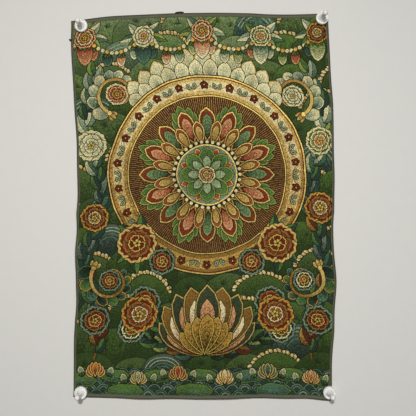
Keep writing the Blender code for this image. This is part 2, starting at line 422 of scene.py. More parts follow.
def leaf(cloth, foot, angle, length, width, bend, near, far, shade):
    """A leaf with one half in shade, its midrib and side veins."""
    outline = blade(foot, angle, length, width, bend=bend, belly=0.42, steps=7)
    tip = tip_of(outline)
    cloth.motif(outline, shaded(near, far, foot, tip, grain=0.6))
    rib = spiral(foot, angle, length * 0.94, bend * 0.94, steps=6)
    cloth.fill(outline[len(outline) // 2:] + rib, shaded(shade, near, foot, tip, grain=0.6))
    for k in (1, 2, 3):
        for hand, colour in ((-1, far), (1, near)):
            heading = angle + bend * k / 6 + hand * 0.75
            cloth.line([rib[k], polar(rib[k], heading, width * 0.36)], 0.55, plain(colour), 0.5)
    cloth.line(rib, 0.9, LINE, 0.5)


def curl(cloth, centre, radius, start, side, tones, rims, flower):
    """A round scroll: a stem that winds inwards, overlapping lobes on its outer side, a flower inside."""
    steps = 30
    winding = 7.6
    path = [polar(centre, start + side * winding * k / steps, radius * (1 - 0.62 * (k / steps) ** 0.85))
            for k in range(steps + 1)]
    for number, place in enumerate(range(16, -2, -2)):
        foot = path[place]
        outward = start + side * winding * place / steps
        length = radius * (0.86 - 0.026 * place)
        heading = outward + side * 0.7
        near, far = tones[number % len(tones)]
        outline = blade(foot, heading, length, length * 0.7, bend=side * 1.2, belly=0.6, full=0.5, steps=7)
        cloth.motif(outline, plain(rims[number % 2]))
        cloth.fill(grow(outline, -0.9), shaded(near, far, foot, tip_of(outline), grain=0.6))
        for shift, reach in ((-0.14, 0.82), (0.1, 0.78), (0.34, 0.62)):
            inner = spiral(foot, heading + shift, length * reach, side * (1.05 + shift), steps=4)
            cloth.line(inner, 0.7, plain(near), 0.5)
    cloth.line(path, radius * 0.16 + 1.6, LINE, 0.5)
    cloth.line(path, radius * 0.16, shaded(OLD_GOLD, PALE_GOLD, path[15], path[0], 1.0, 0.6), 0.4)
    heading = math.atan2(path[0][0] - path[1][0], path[1][1] - path[0][1])
    for turn in (-0.8, 0.8, 0.0):
        petal(cloth, path[0], heading + turn, radius * 0.42, radius * 0.2, OLD_GOLD, PALE_GOLD,
              bend=-turn * 0.6)
    pearl(cloth, path[0], radius * 0.11, PALE_GOLD, 1.0)
    peony(cloth, centre, radius * 0.56, flower)


def garland(cloth, path, size, tones, stem=1.7):
    """Broad leaves laid over each other along a stem, to its left and right by turns."""
    cloth.line(path, stem + 1.4, LINE, 0.7)
    cloth.line(path, stem, plain(OLD_GOLD, 1.0), 0.7)
    for k in range(1, len(path) - 1):
        along = Vector(path[k + 1]) - Vector(path[k - 1])
        heading = math.atan2(along.x, -along.y)
        hand = 1 if k % 2 else -1
        near, far, shade = tones[(k // 2) % len(tones)]
        length = size * (1.0, 0.86, 1.1)[k % 3]
        leaf(cloth, path[k], heading + hand * 0.75, length, length * 0.5, -hand * 0.9, near, far, shade)


def lotus_petal(cloth, foot, angle, length, width, body, drop, bend=0.0):
    """A petal with a gold rim and a dark line inside it, and on it a lighter one with contour lines."""
    outline = blade(foot, angle, length, width, bend=bend, belly=0.62, full=0.62)
    tip = tip_of(outline)
    rim = min(1.4, 0.3 + width * 0.06)
    lined_from = 9.0
    cloth.fill(grow(outline, 0.8), LINE)
    cloth.fill(outline, shaded(OLD_GOLD, PALE_GOLD, foot, tip, 1.0, 0.9))
    if width > lined_from:
        cloth.fill(grow(outline, -rim), LINE)
        rim += 0.6
    cloth.fill(grow(outline, -rim), shaded(*body, foot, tip, worms=0.3, grain=0.5))
    inner_foot = polar(foot, angle, length * 0.14)
    inner = blade(inner_foot, angle + bend * 0.2, length * 0.66, width * 0.58, bend=bend * 0.7, belly=0.62,
                  full=0.6, steps=7)
    tip = tip_of(inner)
    cloth.motif(inner, shaded(*drop, inner_foot, tip, grain=0.6), line=0.7)
    middle = (Vector(inner_foot) + Vector(tip)) / 2
    turn = math.atan2(tip[0] - middle[0], middle[1] - tip[1])
    for share in (0.42, 0.6, 0.78):
        place = tuple(Vector(inner_foot).lerp(Vector(tip), share))
        cloth.line(arc(place, turn, width * 0.27 * (1.12 - share), 1.5), 0.6, plain(drop[0]))


def lotus(cloth, foot, size, bodies, drops, core):
    """An open lotus seen from the side, its petals fanned round an upright axis, the outer ones first."""
    # Columns: turn, length and width as shares of the size, which body and drop
    for side, turn, length, width, k in fanned((
            (1.42, 0.86, 0.24, 0), (1.06, 0.96, 0.30, 1), (0.68, 1.0, 0.34, 0), (0.33, 1.02, 0.36, 1),
            (0.0, 1.03, 0.36, 0))):
        lotus_petal(cloth, foot, side * turn, size * length, size * width, bodies[k], drops[k],
                    -side * 0.55 * turn)
    for side, turn, length, width in fanned((
            (1.1, 0.5, 0.17), (0.7, 0.56, 0.2), (0.34, 0.58, 0.21), (0.0, 0.6, 0.22))):
        tip = petal(cloth, foot, side * turn, size * length, size * width, *core, plain(YELLOW, 0.6),
                    bend=-side * 0.4 * turn, belly=0.64, full=0.7)
        upward = math.atan2(tip[0] - foot[0], foot[1] - tip[1])
        for share in (0.5, 0.62, 0.74, 0.86):
            middle = tuple(Vector(foot).lerp(Vector(tip), share - 0.1))
            cloth.line(arc(middle, upward, size * width * 0.3 * (1.3 - share), 1.2), 0.7, plain(core[0]))


def bud(cloth, foot, angle, size, deep, pale):
    """A closed bud: deep below and pale at its tip, with its contour lines there, and green sepals."""
    for side in (-1, 1):
        petal(cloth, foot, angle + side * 0.42, size * 0.88, size * 0.5, deep, pale,
              bend=-side * 0.85, belly=0.45, full=0.55)
    outline = blade(foot, angle, size, size * 0.66, belly=0.42, full=0.55)
    cloth.motif(outline, shaded(deep, pale, polar(foot, angle, size * 0.3), polar(foot, angle, size * 0.85),
                                grain=0.5))
    for share in (0.46, 0.6, 0.73, 0.85):
        centre = polar(foot, angle, size * (share - 0.12))
        cloth.line(arc(centre, angle, size * 0.33 * (1.25 - share), 1.1), 0.7, plain(deep))
    for side in (-1, 0, 1):
        petal(cloth, foot, angle + side * 0.85, size * 0.36, size * 0.16, TEAL, LEAF, bend=-side * 0.5)


MEDALLION = (152.0, 188.0)
RING_OUTER = 113.0
RING_INNER = 93.4
RAYS_OUTER = 90.6
DISC_RADIUS = 37.0
PETALS = 16
RAY_COUNT = 236
RAY_GOLD = between(GOLD, OLD_GOLD, 0.4)


def medallion(cloth):
    """The round gold medallion: a flowering ring, rays, lotus corolla and a green flower on a grey disc."""
    top, bottom = (0, MEDALLION[1] - 100), (0, MEDALLION[1] + 70)
    ring = shaded(IVORY, (170, 138, 66), top, bottom, 0.2, 0.9, 0.5)
    border = shaded(PALE_GOLD, OLD_GOLD, top, bottom, 0.7, 1.0, 1.0)
    thin_gold = plain(PALE_GOLD, 1.0)
    for radius, dye in (
            (117.0, LINE), (115.8, thin_gold), (114.3, plain(MAROON)), (RING_OUTER, border),
            (RING_OUTER - 3.4, ring), (RING_INNER + 4.2, border), (RING_INNER, LINE),
            (RING_INNER - 0.9, thin_gold), (RAYS_OUTER + 0.7, LINE), (RAYS_OUTER, plain(PLUM, rays=1.0))):
        cloth.fill(disc(MEDALLION, radius), dye)
    flowering_ring(cloth)
    fans = PETALS // 2
    for k in range(fans):
        turn = math.tau * (k + 0.5) / fans
        palmette(cloth, polar(MEDALLION, turn, 56.0), turn, 31.0)
    # Columns: turn in petals, radius of the feet, length, width, the petal's dyes, its drops' by turns
    for shift, foot, length, width, body, drops in (
            (0.0, 38.0, 41.0, 19.0, (INK, RED), ((TEAL, between(LEAF, MIST, 0.45)), (RED, PINK))),
            (0.5, 34.0, 30.0, 13.0, (INK, BRICK), ((OLD_GOLD, PALE_GOLD),) * 2)):
        for k in range(PETALS):
            turn = math.tau * (k + shift) / PETALS
            lotus_petal(cloth, polar(MEDALLION, turn, foot), turn, length, width, body, drops[k % 2])
    green_flower(cloth)


def flowering_ring(cloth):
    """A wavy stem round the ring, with a red flower in each outer bend and leaves in each inner one."""
    bends, bend_steps = 22, 8
    middle = RING_INNER + 9.6
    path = [polar(MEDALLION, math.tau * k / (bends * bend_steps),
                  middle + 3.4 * math.cos(math.tau * k / bend_steps)) for k in range(bends * bend_steps + 1)]
    cloth.line(path, 1.1, plain(OLD_GOLD, 1.0))
    for k in range(bends):
        angle = math.tau * k / bends
        gap = angle + math.pi / bends
        place = polar(MEDALLION, angle, middle + 1.8)
        for hand in (-1, 1):
            petal(cloth, polar(MEDALLION, gap, middle - 1.5), gap + hand * 1.3, 7.6, 3.8,
                  TEAL, (SEA, LEAF)[k % 2], plain(MIST), bend=-hand * 1.1, belly=0.6)
            petal(cloth, place, angle + hand * 2.1, 5.4, 2.6, OLD_GOLD, LEAF, bend=hand * 0.9)
        for turn in range(5):
            petal(cloth, place, angle + math.tau * turn / 5, 4.3, 3.4, MAROON, RED,
                  belly=0.6, full=0.5, steps=5)
        pearl(cloth, place, 0.9, YELLOW)


def palmette(cloth, foot, angle, size):
    """A fan of seven green leaves."""
    for side, turn, length, width in fanned((
            (1.35, 0.55, 0.30), (0.95, 0.72, 0.34), (0.5, 0.88, 0.36), (0.0, 1.0, 0.38))):
        petal(cloth, foot, angle + side * turn, size * length, size * width, TEAL, LEAF, plain(LIME),
              bend=-0.4 * side * turn, belly=0.6)


def green_flower(cloth):
    """The medallion's heart: a ring of pearls, a grey disc, red and green petals and a small peony."""
    cloth.fill(disc(MEDALLION, DISC_RADIUS + 2.2), LINE)
    pearls = 36
    for k in range(pearls):
        pearl(cloth, polar(MEDALLION, math.tau * k / pearls, DISC_RADIUS + 1.4), 2.0)
    for inset, dye in ((0.8, LINE), (1.6, plain(PALE_GOLD, 1.0)), (3.0, plain(SLATE))):
        cloth.fill(disc(MEDALLION, DISC_RADIUS - inset), dye)
    # Columns: turn, inner and outer radius, width, dyes of foot and tip, rim, fullness
    for turn, inner, outer, width, near, far, rim, full in (
            (math.tau / PETALS, 5.0, 33.0, 10.5, MAROON, BRICK, plain(PALE_GOLD, 0.8), 0.8),
            (0.0, 4.0, 32.0, 18.0, TEAL, LEAF, plain(LIME), 0.65),
            (0.0, 4.0, 22.0, 9.0, LEAF, MIST, None, 0.7)):
        for k in range(PETALS // 2):
            angle = turn + math.tau * k / (PETALS // 2)
            petal(cloth, polar(MEDALLION, angle, inner), angle, outer - inner, width, near, far, rim,
                  belly=0.6, full=full)
    peony(cloth, MEDALLION, 10.5, ((OLD_GOLD, YELLOW, CREAM), (MAROON, BRICK, PINK)))


WATER_LEVEL = 414.0


def waves(cloth):
    """The lower band: courses of scalloped waves, each a stack of pale-lined half rounds."""
    cloth.fill(full_width(WATER_LEVEL), plain(DEEP_BLUE))
    courses, rise, pitch, sides = 7, 6.2, 15.0, 7
    for row in range(courses):
        v = WATER_LEVEL + 3.0 + rise * row
        for k in range(22):
            centre = (k * pitch - pitch / 2 * (row % 2) - 3.0, v + 5.0)
            rim, tone = (SEA, SLATE)[row % 2], (SEA, SLATE, TEAL)[(k * 2 + row) % 3]
            for radius, dye in ((8.4, LINE), (7.8, plain(rim)), (6.9, plain(DEEP_BLUE)),
                                (5.6, plain(tone)), (4.0, plain(DEEP_BLUE)), (2.7, plain(TEAL))):
                half_round = [(centre[0] + radius * math.cos(math.pi * i / sides),
                               centre[1] - radius * math.sin(math.pi * i / sides)) for i in range(sides + 1)]
                cloth.fill(half_round, dye)


def lily_pad(cloth, centre, radius, near, far):
    """A round leaf lying on the water, seen at a slant, with its veins and a pale line at its rim."""
    squash = 0.42
    lobes, sides, veins = 7, 28, 11
    outline = []
    for k in range(sides):
        t = math.tau * k / sides
        wavy = radius * (1 + 0.05 * math.cos(lobes * t))
        outline.append((centre[0] + wavy * math.cos(t), centre[1] + wavy * squash * math.sin(t)))
    half = radius * squash
    dye = shaded(near, far, (0, centre[1] + half), (0, centre[1] - half), grain=0.5)
    cloth.motif(outline, dye, plain(LEAF), 0.9, 0.9)
    for k in range(veins):
        angle = math.tau * (k + 0.25) / veins
        path = [(centre[0] + radius * share * math.cos(angle),
                 centre[1] + radius * squash * share * math.sin(angle)) for share in (0.08, 0.5, 0.84)]
        cloth.line(path, 0.8, plain(far if k % 2 else SEA), 0.5)


def pond(cloth):
    """Lily pads, lotuses and buds standing along the upper edge of the waves."""
    waves(cloth)
    greens = ((TEAL, LEAF), (DEEP_BLUE, SEA), (DEEP_BLUE, LEAF))
    for u, v, radius in ((8, 429, 19), (48, 423, 17), (98, 424, 18), (149, 421, 17), (202, 424, 18),
                         (251, 422, 18), (296, 428, 17), (60, 441, 20), (140, 440, 21), (232, 441, 20)):
        lily_pad(cloth, (u, v), radius, *greens[u % len(greens)])
    for u, v, size, tones in (
            (26, 425, 20.0, (MAROON, ORANGE)), (76, 433, 17.0, (TEAL, MIST)),
            (122, 428, 19.0, (MAROON, BRICK)), (176, 432, 18.0, (BRICK, CREAM)),
            (226, 427, 20.0, (DEEP_BLUE, SEA)), (276, 432, 18.0, (RED, PINK))):
        for side in (-1, 1):
            deep, pale = ((RED, PINK), (SEA, CREAM))[(u + side) % 2]
            bud(cloth, (u + side * 15, v - 1), side * 0.35, 12.0, deep, pale)
        for side, turn in fanned(((1.2,), (0.75,), (0.35,), (0.0,))):
            petal(cloth, (u, v), side * turn, size * (0.8 + 0.12 * math.cos(turn * 2)), size * 0.36,
                  *tones, plain(PALE_GOLD), bend=-side * 0.5 * turn, belly=0.6, full=0.6)


def spray(cloth):
    """The great lotus under the medallion with its stems, leaves and side flowers."""
    foot = (152.0, 398.0)
    greens = ((TEAL, LEAF, INK), (DEEP_BLUE, SEA, INK), (BROWN, OLD_GOLD, MAROON), (TEAL, LIME, DEEP_BLUE))
    flowers = []
    for side in (-1, 1):
        # Columns: heading, length and turn of the stem, radius and tones of its flower
        for angle, length, turn, radius, tones in (
                (1.42, 92.0, -0.35, 17.0, DUSK), (1.12, 96.0, -0.5, 19.0, SMOKE),
                (0.86, 92.0, 0.35, 22.0, EMBER)):
            path = spiral(foot, side * angle, length, side * turn, steps=13)
            garland(cloth, path, 23.0, greens)
            flowers.append((path[-1], radius, tones))
    for number, flower in enumerate(flowers):
        peony(cloth, *flower, number * 0.7)
    lotus(cloth, foot, 80.0, ((INK, TEAL), (INK, OLD_GOLD)), ((MAROON, PINK), (RED, IVORY)),
          (INK, GOLD))


def swags(cloth):
    """Strings of pearls across the top, with rosettes and drops where they meet."""
    red = ((MAROON, BRICK, PINK), (RED, PINK, CREAM), (MAROON, ORANGE, YELLOW))
    pale = ((SEA, IVORY, CREAM), (MIST, IVORY, CREAM), (BRICK, PINK, CREAM))
    posts = [(16.0, 22.0), (84.0, 26.0), (152.0, 20.0), (220.0, 26.0), (286.0, 22.0)]
    rosettes = (red, pale, red, FRESH, EMBER)
    drops = [(RED, PINK), (DEEP_BLUE, SEA), (BRICK, IVORY), (SEA, IVORY), (LEAF, CREAM)]
    leaves = ((SEA, CREAM, TEAL), (LEAF, LIME, TEAL), (MIST, IVORY, SEA))
    leaf_forms = ((1.5, 28.0, 0.5), (1.95, 24.0, 0.6), (1.1, 24.0, -0.5))
    pearls, depth = 13, 19.0
    for post, ((u0, v0), (u1, v1)) in enumerate(zip(posts, posts[1:])):
        for side, start in ((-1, (u1, v1)), (1, (u0, v0))):
            for k, (turn, length, bend) in enumerate(leaf_forms):
                leaf(cloth, start, side * turn, length, 10.0, side * bend, *leaves[(k + post) % 3])
        for k in range(1, pearls):
            share = k / pearls
            sag = depth * 4 * share * (1 - share)
            u, v = u0 + (u1 - u0) * share, v0 + (v1 - v0) * share + sag
            carries_drop = k % 3 == 2
            if carries_drop:
                bud(cloth, (u, v + 1.5), math.pi, 16.0, *drops[(post + k // 3) % len(drops)])
            pearl(cloth, (u, v), 2.3, GOLD if carries_drop else CREAM, float(carries_drop))
    for k, (post, rosette, drop) in enumerate(zip(posts, rosettes, drops)):
        bud(cloth, (post[0], post[1] + 6), math.pi, 27.0, *drop)
        peony(cloth, post, 13.0, rosette, 0.3 * k)


def rim_blooms(cloth):
    """Red flowers with leaves, laid over the medallion's rim at its lower left and right."""
    for side in (-1, 1):
        middle = (MEDALLION[0] + side * 82.0, 268.0)
        for turn, length in ((0.5, 32.0), (-0.4, 34.0), (-2.4, 40.0), (2.9, 36.0), (2.1, 32.0)):
            leaf(cloth, middle, side * turn, length, 14.0, side * 0.5, TEAL, LEAF, DEEP_BLUE)
        peony(cloth, (middle[0] - side * 30.0, middle[1] + 22.0), 16.0, SMOKE, 0.4)
        peony(cloth, middle, 24.0, BLOOD, 0.2 * side)


def side_growth(cloth):
    """Flowering vines up both sides, and scrolls and great flowers in the spaces round the medallion."""
    earthy = ((TEAL, LEAF, DEEP_BLUE), (BROWN, GOLD, MAROON), (TEAL, SEA, DEEP_BLUE),
              (DEEP_BLUE, SLATE, TEAL))
    fresh = ((TEAL, LEAF, DEEP_BLUE), (SEA, CREAM, TEAL), (SLATE, MIST, TEAL), (LEAF, LIME, TEAL),
             (MIST, IVORY, SEA))
    for side, edge in ((1, 20.0), (-1, 280.0)):
        path = [(edge + side * 8.0 * math.sin(k / 3.1 + 0.4), 404.0 - 8.4 * k) for k in range(42)]
        garland(cloth, path, 23.0, earthy * 3 + fresh * 2, 2.4)
    cool, cool_rims = ((SEA, IVORY), (TEAL, MIST), (SLATE, CREAM)), (MIST, CREAM)
    dim, dim_rims = ((INK, SEA), (TEAL, LEAF), (INK, TEAL)), (SEA, GOLD)
    for centre, start, side, tones, rims, flower in (
            ((50, 92), 3.6, 1, cool, cool_rims, ROSE), ((254, 96), 2.7, -1, cool, cool_rims, PALE),
            ((40, 311), 5.4, -1, dim, dim_rims, SMOKE), ((264, 311), 0.9, 1, dim, dim_rims, DUSK)):
        curl(cloth, centre, 24.0, start, side, tones, rims, flower)
    for k, (u, v, radius, flower) in enumerate((
            (17, 150, 19, PALE), (20, 236, 17, EMBER), (283, 148, 17, FRESH), (283, 226, 19, EMBER),
            (22, 358, 18, SMOKE), (280, 357, 18, SMOKE))):
        peony(cloth, (u, v), radius, flower, 0.4 * k)


def rolling_ground(cloth):
    """The green ground: overlapping rounded banks, dark below and pale at their crests, some in flower."""
    rows, row_rise, bank_width, crest_steps, sheen_side = 15, 31.0, 44.0, 22, 200.0
    for row in range(rows):
        level = 24.0 + row_rise * row
        low, high = min(1.0, row / 9.0), max(0.0, 1.0 - row / 3.0)
        for k in range(-1, 8):
            u = bank_width * k + bank_width / 2 * (row % 2) + 6.0 * math.sin(row * 1.9 + k * 2.3)
            v = level + 5.0 * math.sin(k * 1.7 + row)
            reach, rise = 30.0 + 4.0 * math.sin(k + row * 2.1), 30.0 + 4.0 * math.cos(k * 1.3 + row)
            crest = [(u + reach * math.sin(t), v - rise * math.cos(t)) for t in
                     (math.pi * (i / crest_steps - 0.5) for i in range(crest_steps + 1))]
            watery = (k * 2 + row) % 7 == 3
            if watery:
                pale, deep = (SEA if row < 6 else SLATE), DEEP_BLUE
            else:
                pale, deep = (GROUND_PALE, LEAF, GROUND_MIDDLE)[(k + row * 2) % 3], GROUND_DEEP
            # Banks in the first three rows, on the left, are mixed towards pale mist colours here: painted
            # sheen, the lamp's light reflected off the yarns near the top.
            painted_sheen = high if u < sheen_side else 0.0
            pale = between(between(pale, deep, 0.5 * low), MIST, 0.5 * painted_sheen)
            deep = between(between(deep, GROUND_INK, 0.4 * low), GROUND_PALE, 0.6 * painted_sheen)
            outline = crest + [(u + reach, v + 20.0), (u - reach, v + 20.0)]
            cloth.fill(grow(outline, 0.7), plain(GROUND_INK))
            cloth.fill(outline, shaded(deep, pale, (0.0, v + 4.0), (0.0, v - rise * 0.92), grain=0.9))
            if watery:
                for share, colour in ((0.86, MIST), (0.72, MIST), (0.58, SEA), (0.44, SEA)):
                    path = [(u + (x - u) * share, v + (y - v) * share) for x, y in crest[3:20]]
                    cloth.line(path, 0.9, plain(colour))
            elif (k + row) % 3 == 0:
                flowering_crest(cloth, crest, (u, v), row + k)
            else:
                tuft(cloth, (u - 7.0, v - rise * 0.5), 0.5 * math.sin(row + k), GROUND_INK, pale)
                tuft(cloth, (u + 9.0, v - rise * 0.35), 0.5 * math.cos(row * 2 + k), GROUND_INK, pale)


def tuft(cloth, foot, turn, near, far):
    """Five blades of grass, the outer ones first."""
    for k, length in ((-2, 7.0), (2, 7.0), (-1, 9.5), (1, 9.0), (0, 11.0)):
        outline = blade(foot, turn + k * 0.5, length, 2.8, bend=k * 0.25, steps=5)
        cloth.fill(outline, shaded(near, far, foot, tip_of(outline), grain=0.5))


def flowering_crest(cloth, crest, middle, number):
    """A row of small pale and ochre leaves along a bank's crest."""
    near, far = ((GOLD, CREAM), (OLD_GOLD, YELLOW), (SEA, CREAM))[number % 3]
    for i, (x, y) in list(enumerate(crest))[3:20]:
        outward = math.atan2(x - middle[0], middle[1] - y)
        length = 6.5 - 1.5 * (i % 2)
        for hand in (1, -1) if i % 2 else (-1, 1):
            petal(cloth, (x, y), outward + hand * 0.9, length, 3.6, near, far, steps=4, full=0.6)


def crown(cloth):
    """A fan of broad pointed petals that stands up behind the medallion, in two rows."""
    spacing = 0.135
    rows = ((11, 45.0, 20.0, PALE_GOLD), (12, 30.0, 16.0, IVORY))
    for row, (count, length, width, rim) in enumerate(rows):
        for k in sorted(range(count), key=lambda k: -abs(2 * k - count + 1)):
            angle = spacing * (k - (count - 1) / 2)
            foot, reach = polar(MEDALLION, angle, 106.0), length * (1 - 0.35 * abs(angle))
            near, far = ((SEA, IVORY), (SLATE, CREAM), (MIST, IVORY))[(k + row) % 3]
            outline = blade(foot, angle, reach, width, belly=0.6, full=0.72)
            cloth.motif(outline, plain(rim))
            pale_from = polar(foot, angle, reach * 0.8)
            cloth.fill(grow(outline, -1.1), shaded(near, far, foot, pale_from, grain=0.7))
            for turn, share in ((-0.19, 0.7), (-0.1, 0.8), (0.0, 0.86), (0.1, 0.8), (0.19, 0.7)):
                inner = polar(foot, angle + turn * 0.7, reach * 0.35)
                cloth.line([inner, polar(foot, angle + turn, reach * share)], 0.75, plain(near), 0.4)


def woven_design():
    """The whole design, painted from the ground up."""
    cloth = Weaving()
    cloth.fill(full_width(0.0), plain(GROUND_MIDDLE))
    for paint in (rolling_ground, side_growth, pond, spray, crown, swags, medallion, rim_blooms):
        paint(cloth)
    return cloth


def inside(outline, spots):
    """Which of the spots lie inside an outline."""
    x, y = spots[:, :1], spots[:, 1:]
    x0, y0 = outline.T
    x1, y1 = np.roll(outline, -1, axis=0).T
    rise = np.where(y1 == y0, 1.0, y1 - y0)
    crosses = ((y0 > y) != (y1 > y)) & (x < (x1 - x0) * (y - y0) / rise + x0)
    return crosses.sum(axis=1) % 2 == 1


def topmost(cloth, spots):
    """The number of the last painted shape over each spot."""
    order = np.argsort(spots[:, 0])
    sorted_across = spots[order, 0]
    owner = np.full(len(spots), -1)
    for number in reversed(range(1, len(cloth.outlines))):
        outline = cloth.outlines[number]
        low, high = outline.min(axis=0), outline.max(axis=0)
        first, last = np.searchsorted(sorted_across, (low[0], high[0]))
        near = order[first:last]
        near = near[(owner[near] < 0) & (spots[near, 1] > low[1]) & (spots[near, 1] < high[1])]
        if len(near):
            owner[near[inside(outline, spots[near])]] = number
    return np.maximum(owner, 0)


def cut(points, edges):
    """A triangulation that keeps the edges: places and triangles."""
    merge_distance = 1e-4
    found = delaunay_2d_cdt([Vector(p) for p in points], edges, [], 0, merge_distance, False)
    return np.array([tuple(p) for p in found[0]]), np.array(found[2])


def ring_edges(first, count):
    """The edges that join points numbered from first into a ring."""
    return [(first + k, first + (k + 1) % count) for k in range(count)]


def grid(step):
    """Places in rows and columns a step apart, clear of the sheet's rim."""
    downs = np.arange(SHEET_EDGE + step, SHEET_END[1] - 1, step)
    return [(u, v) for v in downs for u in np.arange(SHEET_EDGE + step, SHEET_END[0] - 1, step)]


def clear_of_holes(places, triangles, holes):
    """The triangles that don't lie in a needle hole."""
    for hole in holes:
        triangles = triangles[~inside(hole, places[triangles].mean(axis=1))]
    return triangles


def visible_edges(places, triangles, look):
    """The edges between triangles that look different, with straight runs joined up."""
    rounds, longest, straight = 3, 6.0, 0.012
    pairs = np.concatenate([triangles[:, [0, 1]], triangles[:, [1, 2]], triangles[:, [2, 0]]])
    pairs.sort(axis=1)
    looks = np.tile(look, 3)
    order = np.lexsort((pairs[:, 1], pairs[:, 0]))
    pairs, looks = pairs[order], looks[order]
    same = (pairs[1:] == pairs[:-1]).all(axis=1)
    shown = same & (looks[1:] != looks[:-1])
    beside = {}
    for a, b in pairs[1:][shown].tolist():
        beside.setdefault(a, set()).add(b)
        beside.setdefault(b, set()).add(a)
    for _ in range(rounds):
        held = set()
        for here, others in list(beside.items()):
            if len(others) != 2 or here in held:
                continue
            a, b = others
            along = places[b] - places[a]
            off = places[here] - places[a]
            length = math.hypot(*along)
            area = abs(along[0] * off[1] - along[1] * off[0])
            if b in beside[a] or length > longest or area > straight * length:
                continue
            for one, other in ((a, b), (b, a)):
                beside[one].discard(here)
                beside[one].add(other)
            del beside[here]
            held.update(others)
    return [(a, b) for a, others in beside.items() for b in others if a < b]


def triangulate(cloth):
    """Cuts the cloth along every outline that shows. Returns places, triangles, their dyes and the holes."""
    points, edges = [], []
    for outline in cloth.outlines:
        edges.extend(ring_edges(len(points), len(outline)))
        points.extend(outline)
    places, triangles = cut(points, edges)
    looks = {dye: k for k, dye in enumerate(dict.fromkeys(cloth.dyes))}
    look = np.array([looks[dye] for dye in cloth.dyes])
    shown = visible_edges(places, triangles, look[topmost(cloth, places[triangles].mean(axis=1))])
    used = sorted({k for edge in shown for k in edge})
    number = {k: i for i, k in enumerate(used)}
    points = [tuple(places[k]) for k in used]
    edges = [(number[a], number[b]) for a, b in shown]
    low, (high_u, high_v) = SHEET_EDGE, SHEET_END
    corners = ((low, low), (high_u, low), (high_u, high_v), (low, high_v))
    edges.extend(ring_edges(len(points), RIM_STEPS * len(corners)))
    for corner, after in zip(corners, corners[1:] + corners[:1]):
        points.extend(tuple(np.array(corner) + (np.array(after) - corner) * k / RIM_STEPS)
                      for k in range(RIM_STEPS))
    holes = [disc(place_of(x, z), NEEDLE_HOLE, NEEDLE_HOLE_SIDES) for x, z in PINS]
    for hole in holes:
        edges.extend(ring_edges(len(points), NEEDLE_HOLE_SIDES))
        points.extend(hole)
    points.extend(grid(FACE_STEP))
    for offset in CREASE_ROWS:
        points.extend((u, CREASE_SHARE * CLOTH_HEIGHT + offset)
                      for u in np.arange(low + 3, high_u - 1, CREASE_STEP))
    holes = [np.array(hole) for hole in holes]
    places, triangles = cut(points, edges)
    triangles = clear_of_holes(places, triangles, holes)
    dyes = [cloth.dyes[k] for k in topmost(cloth, places[triangles].mean(axis=1))]
    print("painted shapes:", len(cloth.dyes), "outline points:", len(used))
    return places, facing_room(places, triangles), dyes, holes


def facing_room(places, triangles):
    """The triangles, each in the order that makes it face the room once it is hung."""
    # Places run downwards, so a triangle that runs round one way there faces the other way when hung.
    a, b, c = (places[triangles[:, k]] for k in range(3))
    clockwise = ((b - a)[:, 0] * (c - a)[:, 1] - (b - a)[:, 1] * (c - a)[:, 0]) < 0
    facing = triangles.copy()
    facing[~clockwise] = facing[~clockwise][:, ::-1]
    return facing


def open_edges(triangles):
    """The edges that have a triangle on one side only: the rim and the needle holes."""
    edges = dict.fromkeys(edge for i, j, k in triangles.tolist() for edge in ((i, j), (j, k), (k, i)))
    return [(i, j) for i, j in edges if (j, i) not in edges]


def wrong_side(places, rim, holes):
    """A coarser triangulation for the wrong side, and which of its points lie behind the face's rim."""
    used = sorted({k for edge in rim for k in edge})
    number = {k: i for i, k in enumerate(used)}
    points = [tuple(places[k]) for k in used] + grid(BACK_STEP)
    back, triangles = cut(points, [(number[i], number[j]) for i, j in rim])
    triangles = clear_of_holes(back, triangles, holes)
    behind = {k: int(((back - places[k]) ** 2).sum(axis=1).argmin()) for k in used}
    return back, facing_room(back, triangles)[:, ::-1], behind


def yarns(dyes):
    """The near and far yarns of each dye: a linear colour and, as its fourth value, the shine."""
    return (np.array([[*linear(d.near), d.shine_near] for d in dyes]),
            np.array([[*linear(d.far), d.shine_far] for d in dyes]))


def corner_colours(dyes, places, facing):
    """The three colour attributes at the corners of the face's triangles."""
    lots = sorted(set(dyes), key=repr)
    index = {dye: k for k, dye in enumerate(lots)}
    which = np.array([index[dye] for dye in dyes])
    near, far = (np.repeat(yarn[which][:, None], 3, axis=1) for yarn in yarns(lots))
    start = np.array([d.start for d in lots], float)[which][:, None]
    axis = np.array([(d.end[0] - d.start[0], d.end[1] - d.start[1]) for d in lots], float)[which][:, None]
    share = ((places[facing] - start) * axis).sum(2) / (axis * axis).sum(2)
    weave = np.zeros((len(which), 3, 4))
    weave[..., 0] = np.clip(share, 0, 1)
    weave[..., 1:] = np.array([(d.worms, d.rays, d.grain) for d in lots])[which][:, None]
    return {"yarn_near": near, "yarn_far": far, "weave": weave}


def back_colours(cloth, back, triangles):
    """The same at the corners of the wrong side, where the yarns run into each other."""
    near, far = (yarn[triangles] for yarn in yarns([cloth.dyes[k] for k in topmost(cloth, back)]))
    return {"yarn_near": near, "yarn_far": far, "weave": np.zeros(near.shape)}


def put_attribute(mesh, name, front, back, rim_count):
    """Writes a colour attribute: the face's corners, the wrong side's, and the rim's in the face's mean."""
    rim = np.zeros((rim_count * 4, 4))
    rim[:] = front.reshape(-1, 4).mean(0)
    values = np.concatenate([front.reshape(-1, 4), back.reshape(-1, 4), rim])
    attribute = mesh.color_attributes.new(name, "FLOAT_COLOR", "CORNER")
    attribute.data.foreach_set("color", values.astype(np.float32).ravel())


# The map for painting: where the face and the wrong side start and how large they are,
# then the rim's first cell, the size of a cell, and how many cells stand in a row
FACE_START, FACE_SIZE = (0.01, 0.98), (0.96, -0.96)
BACK_START, BACK_SIZE = (0.67, 0.98), (0.46, -0.46)
RIM_START, RIM_CELL, RIM_CELLS = (0.68, 0.40), (0.001, 0.01), 150


def put_map(mesh, name, values):
    """Writes a UV map, one place for each corner."""
    layer = mesh.uv_layers.new(name=name)
    layer.data.foreach_set("uv", values.astype(np.float32).ravel())


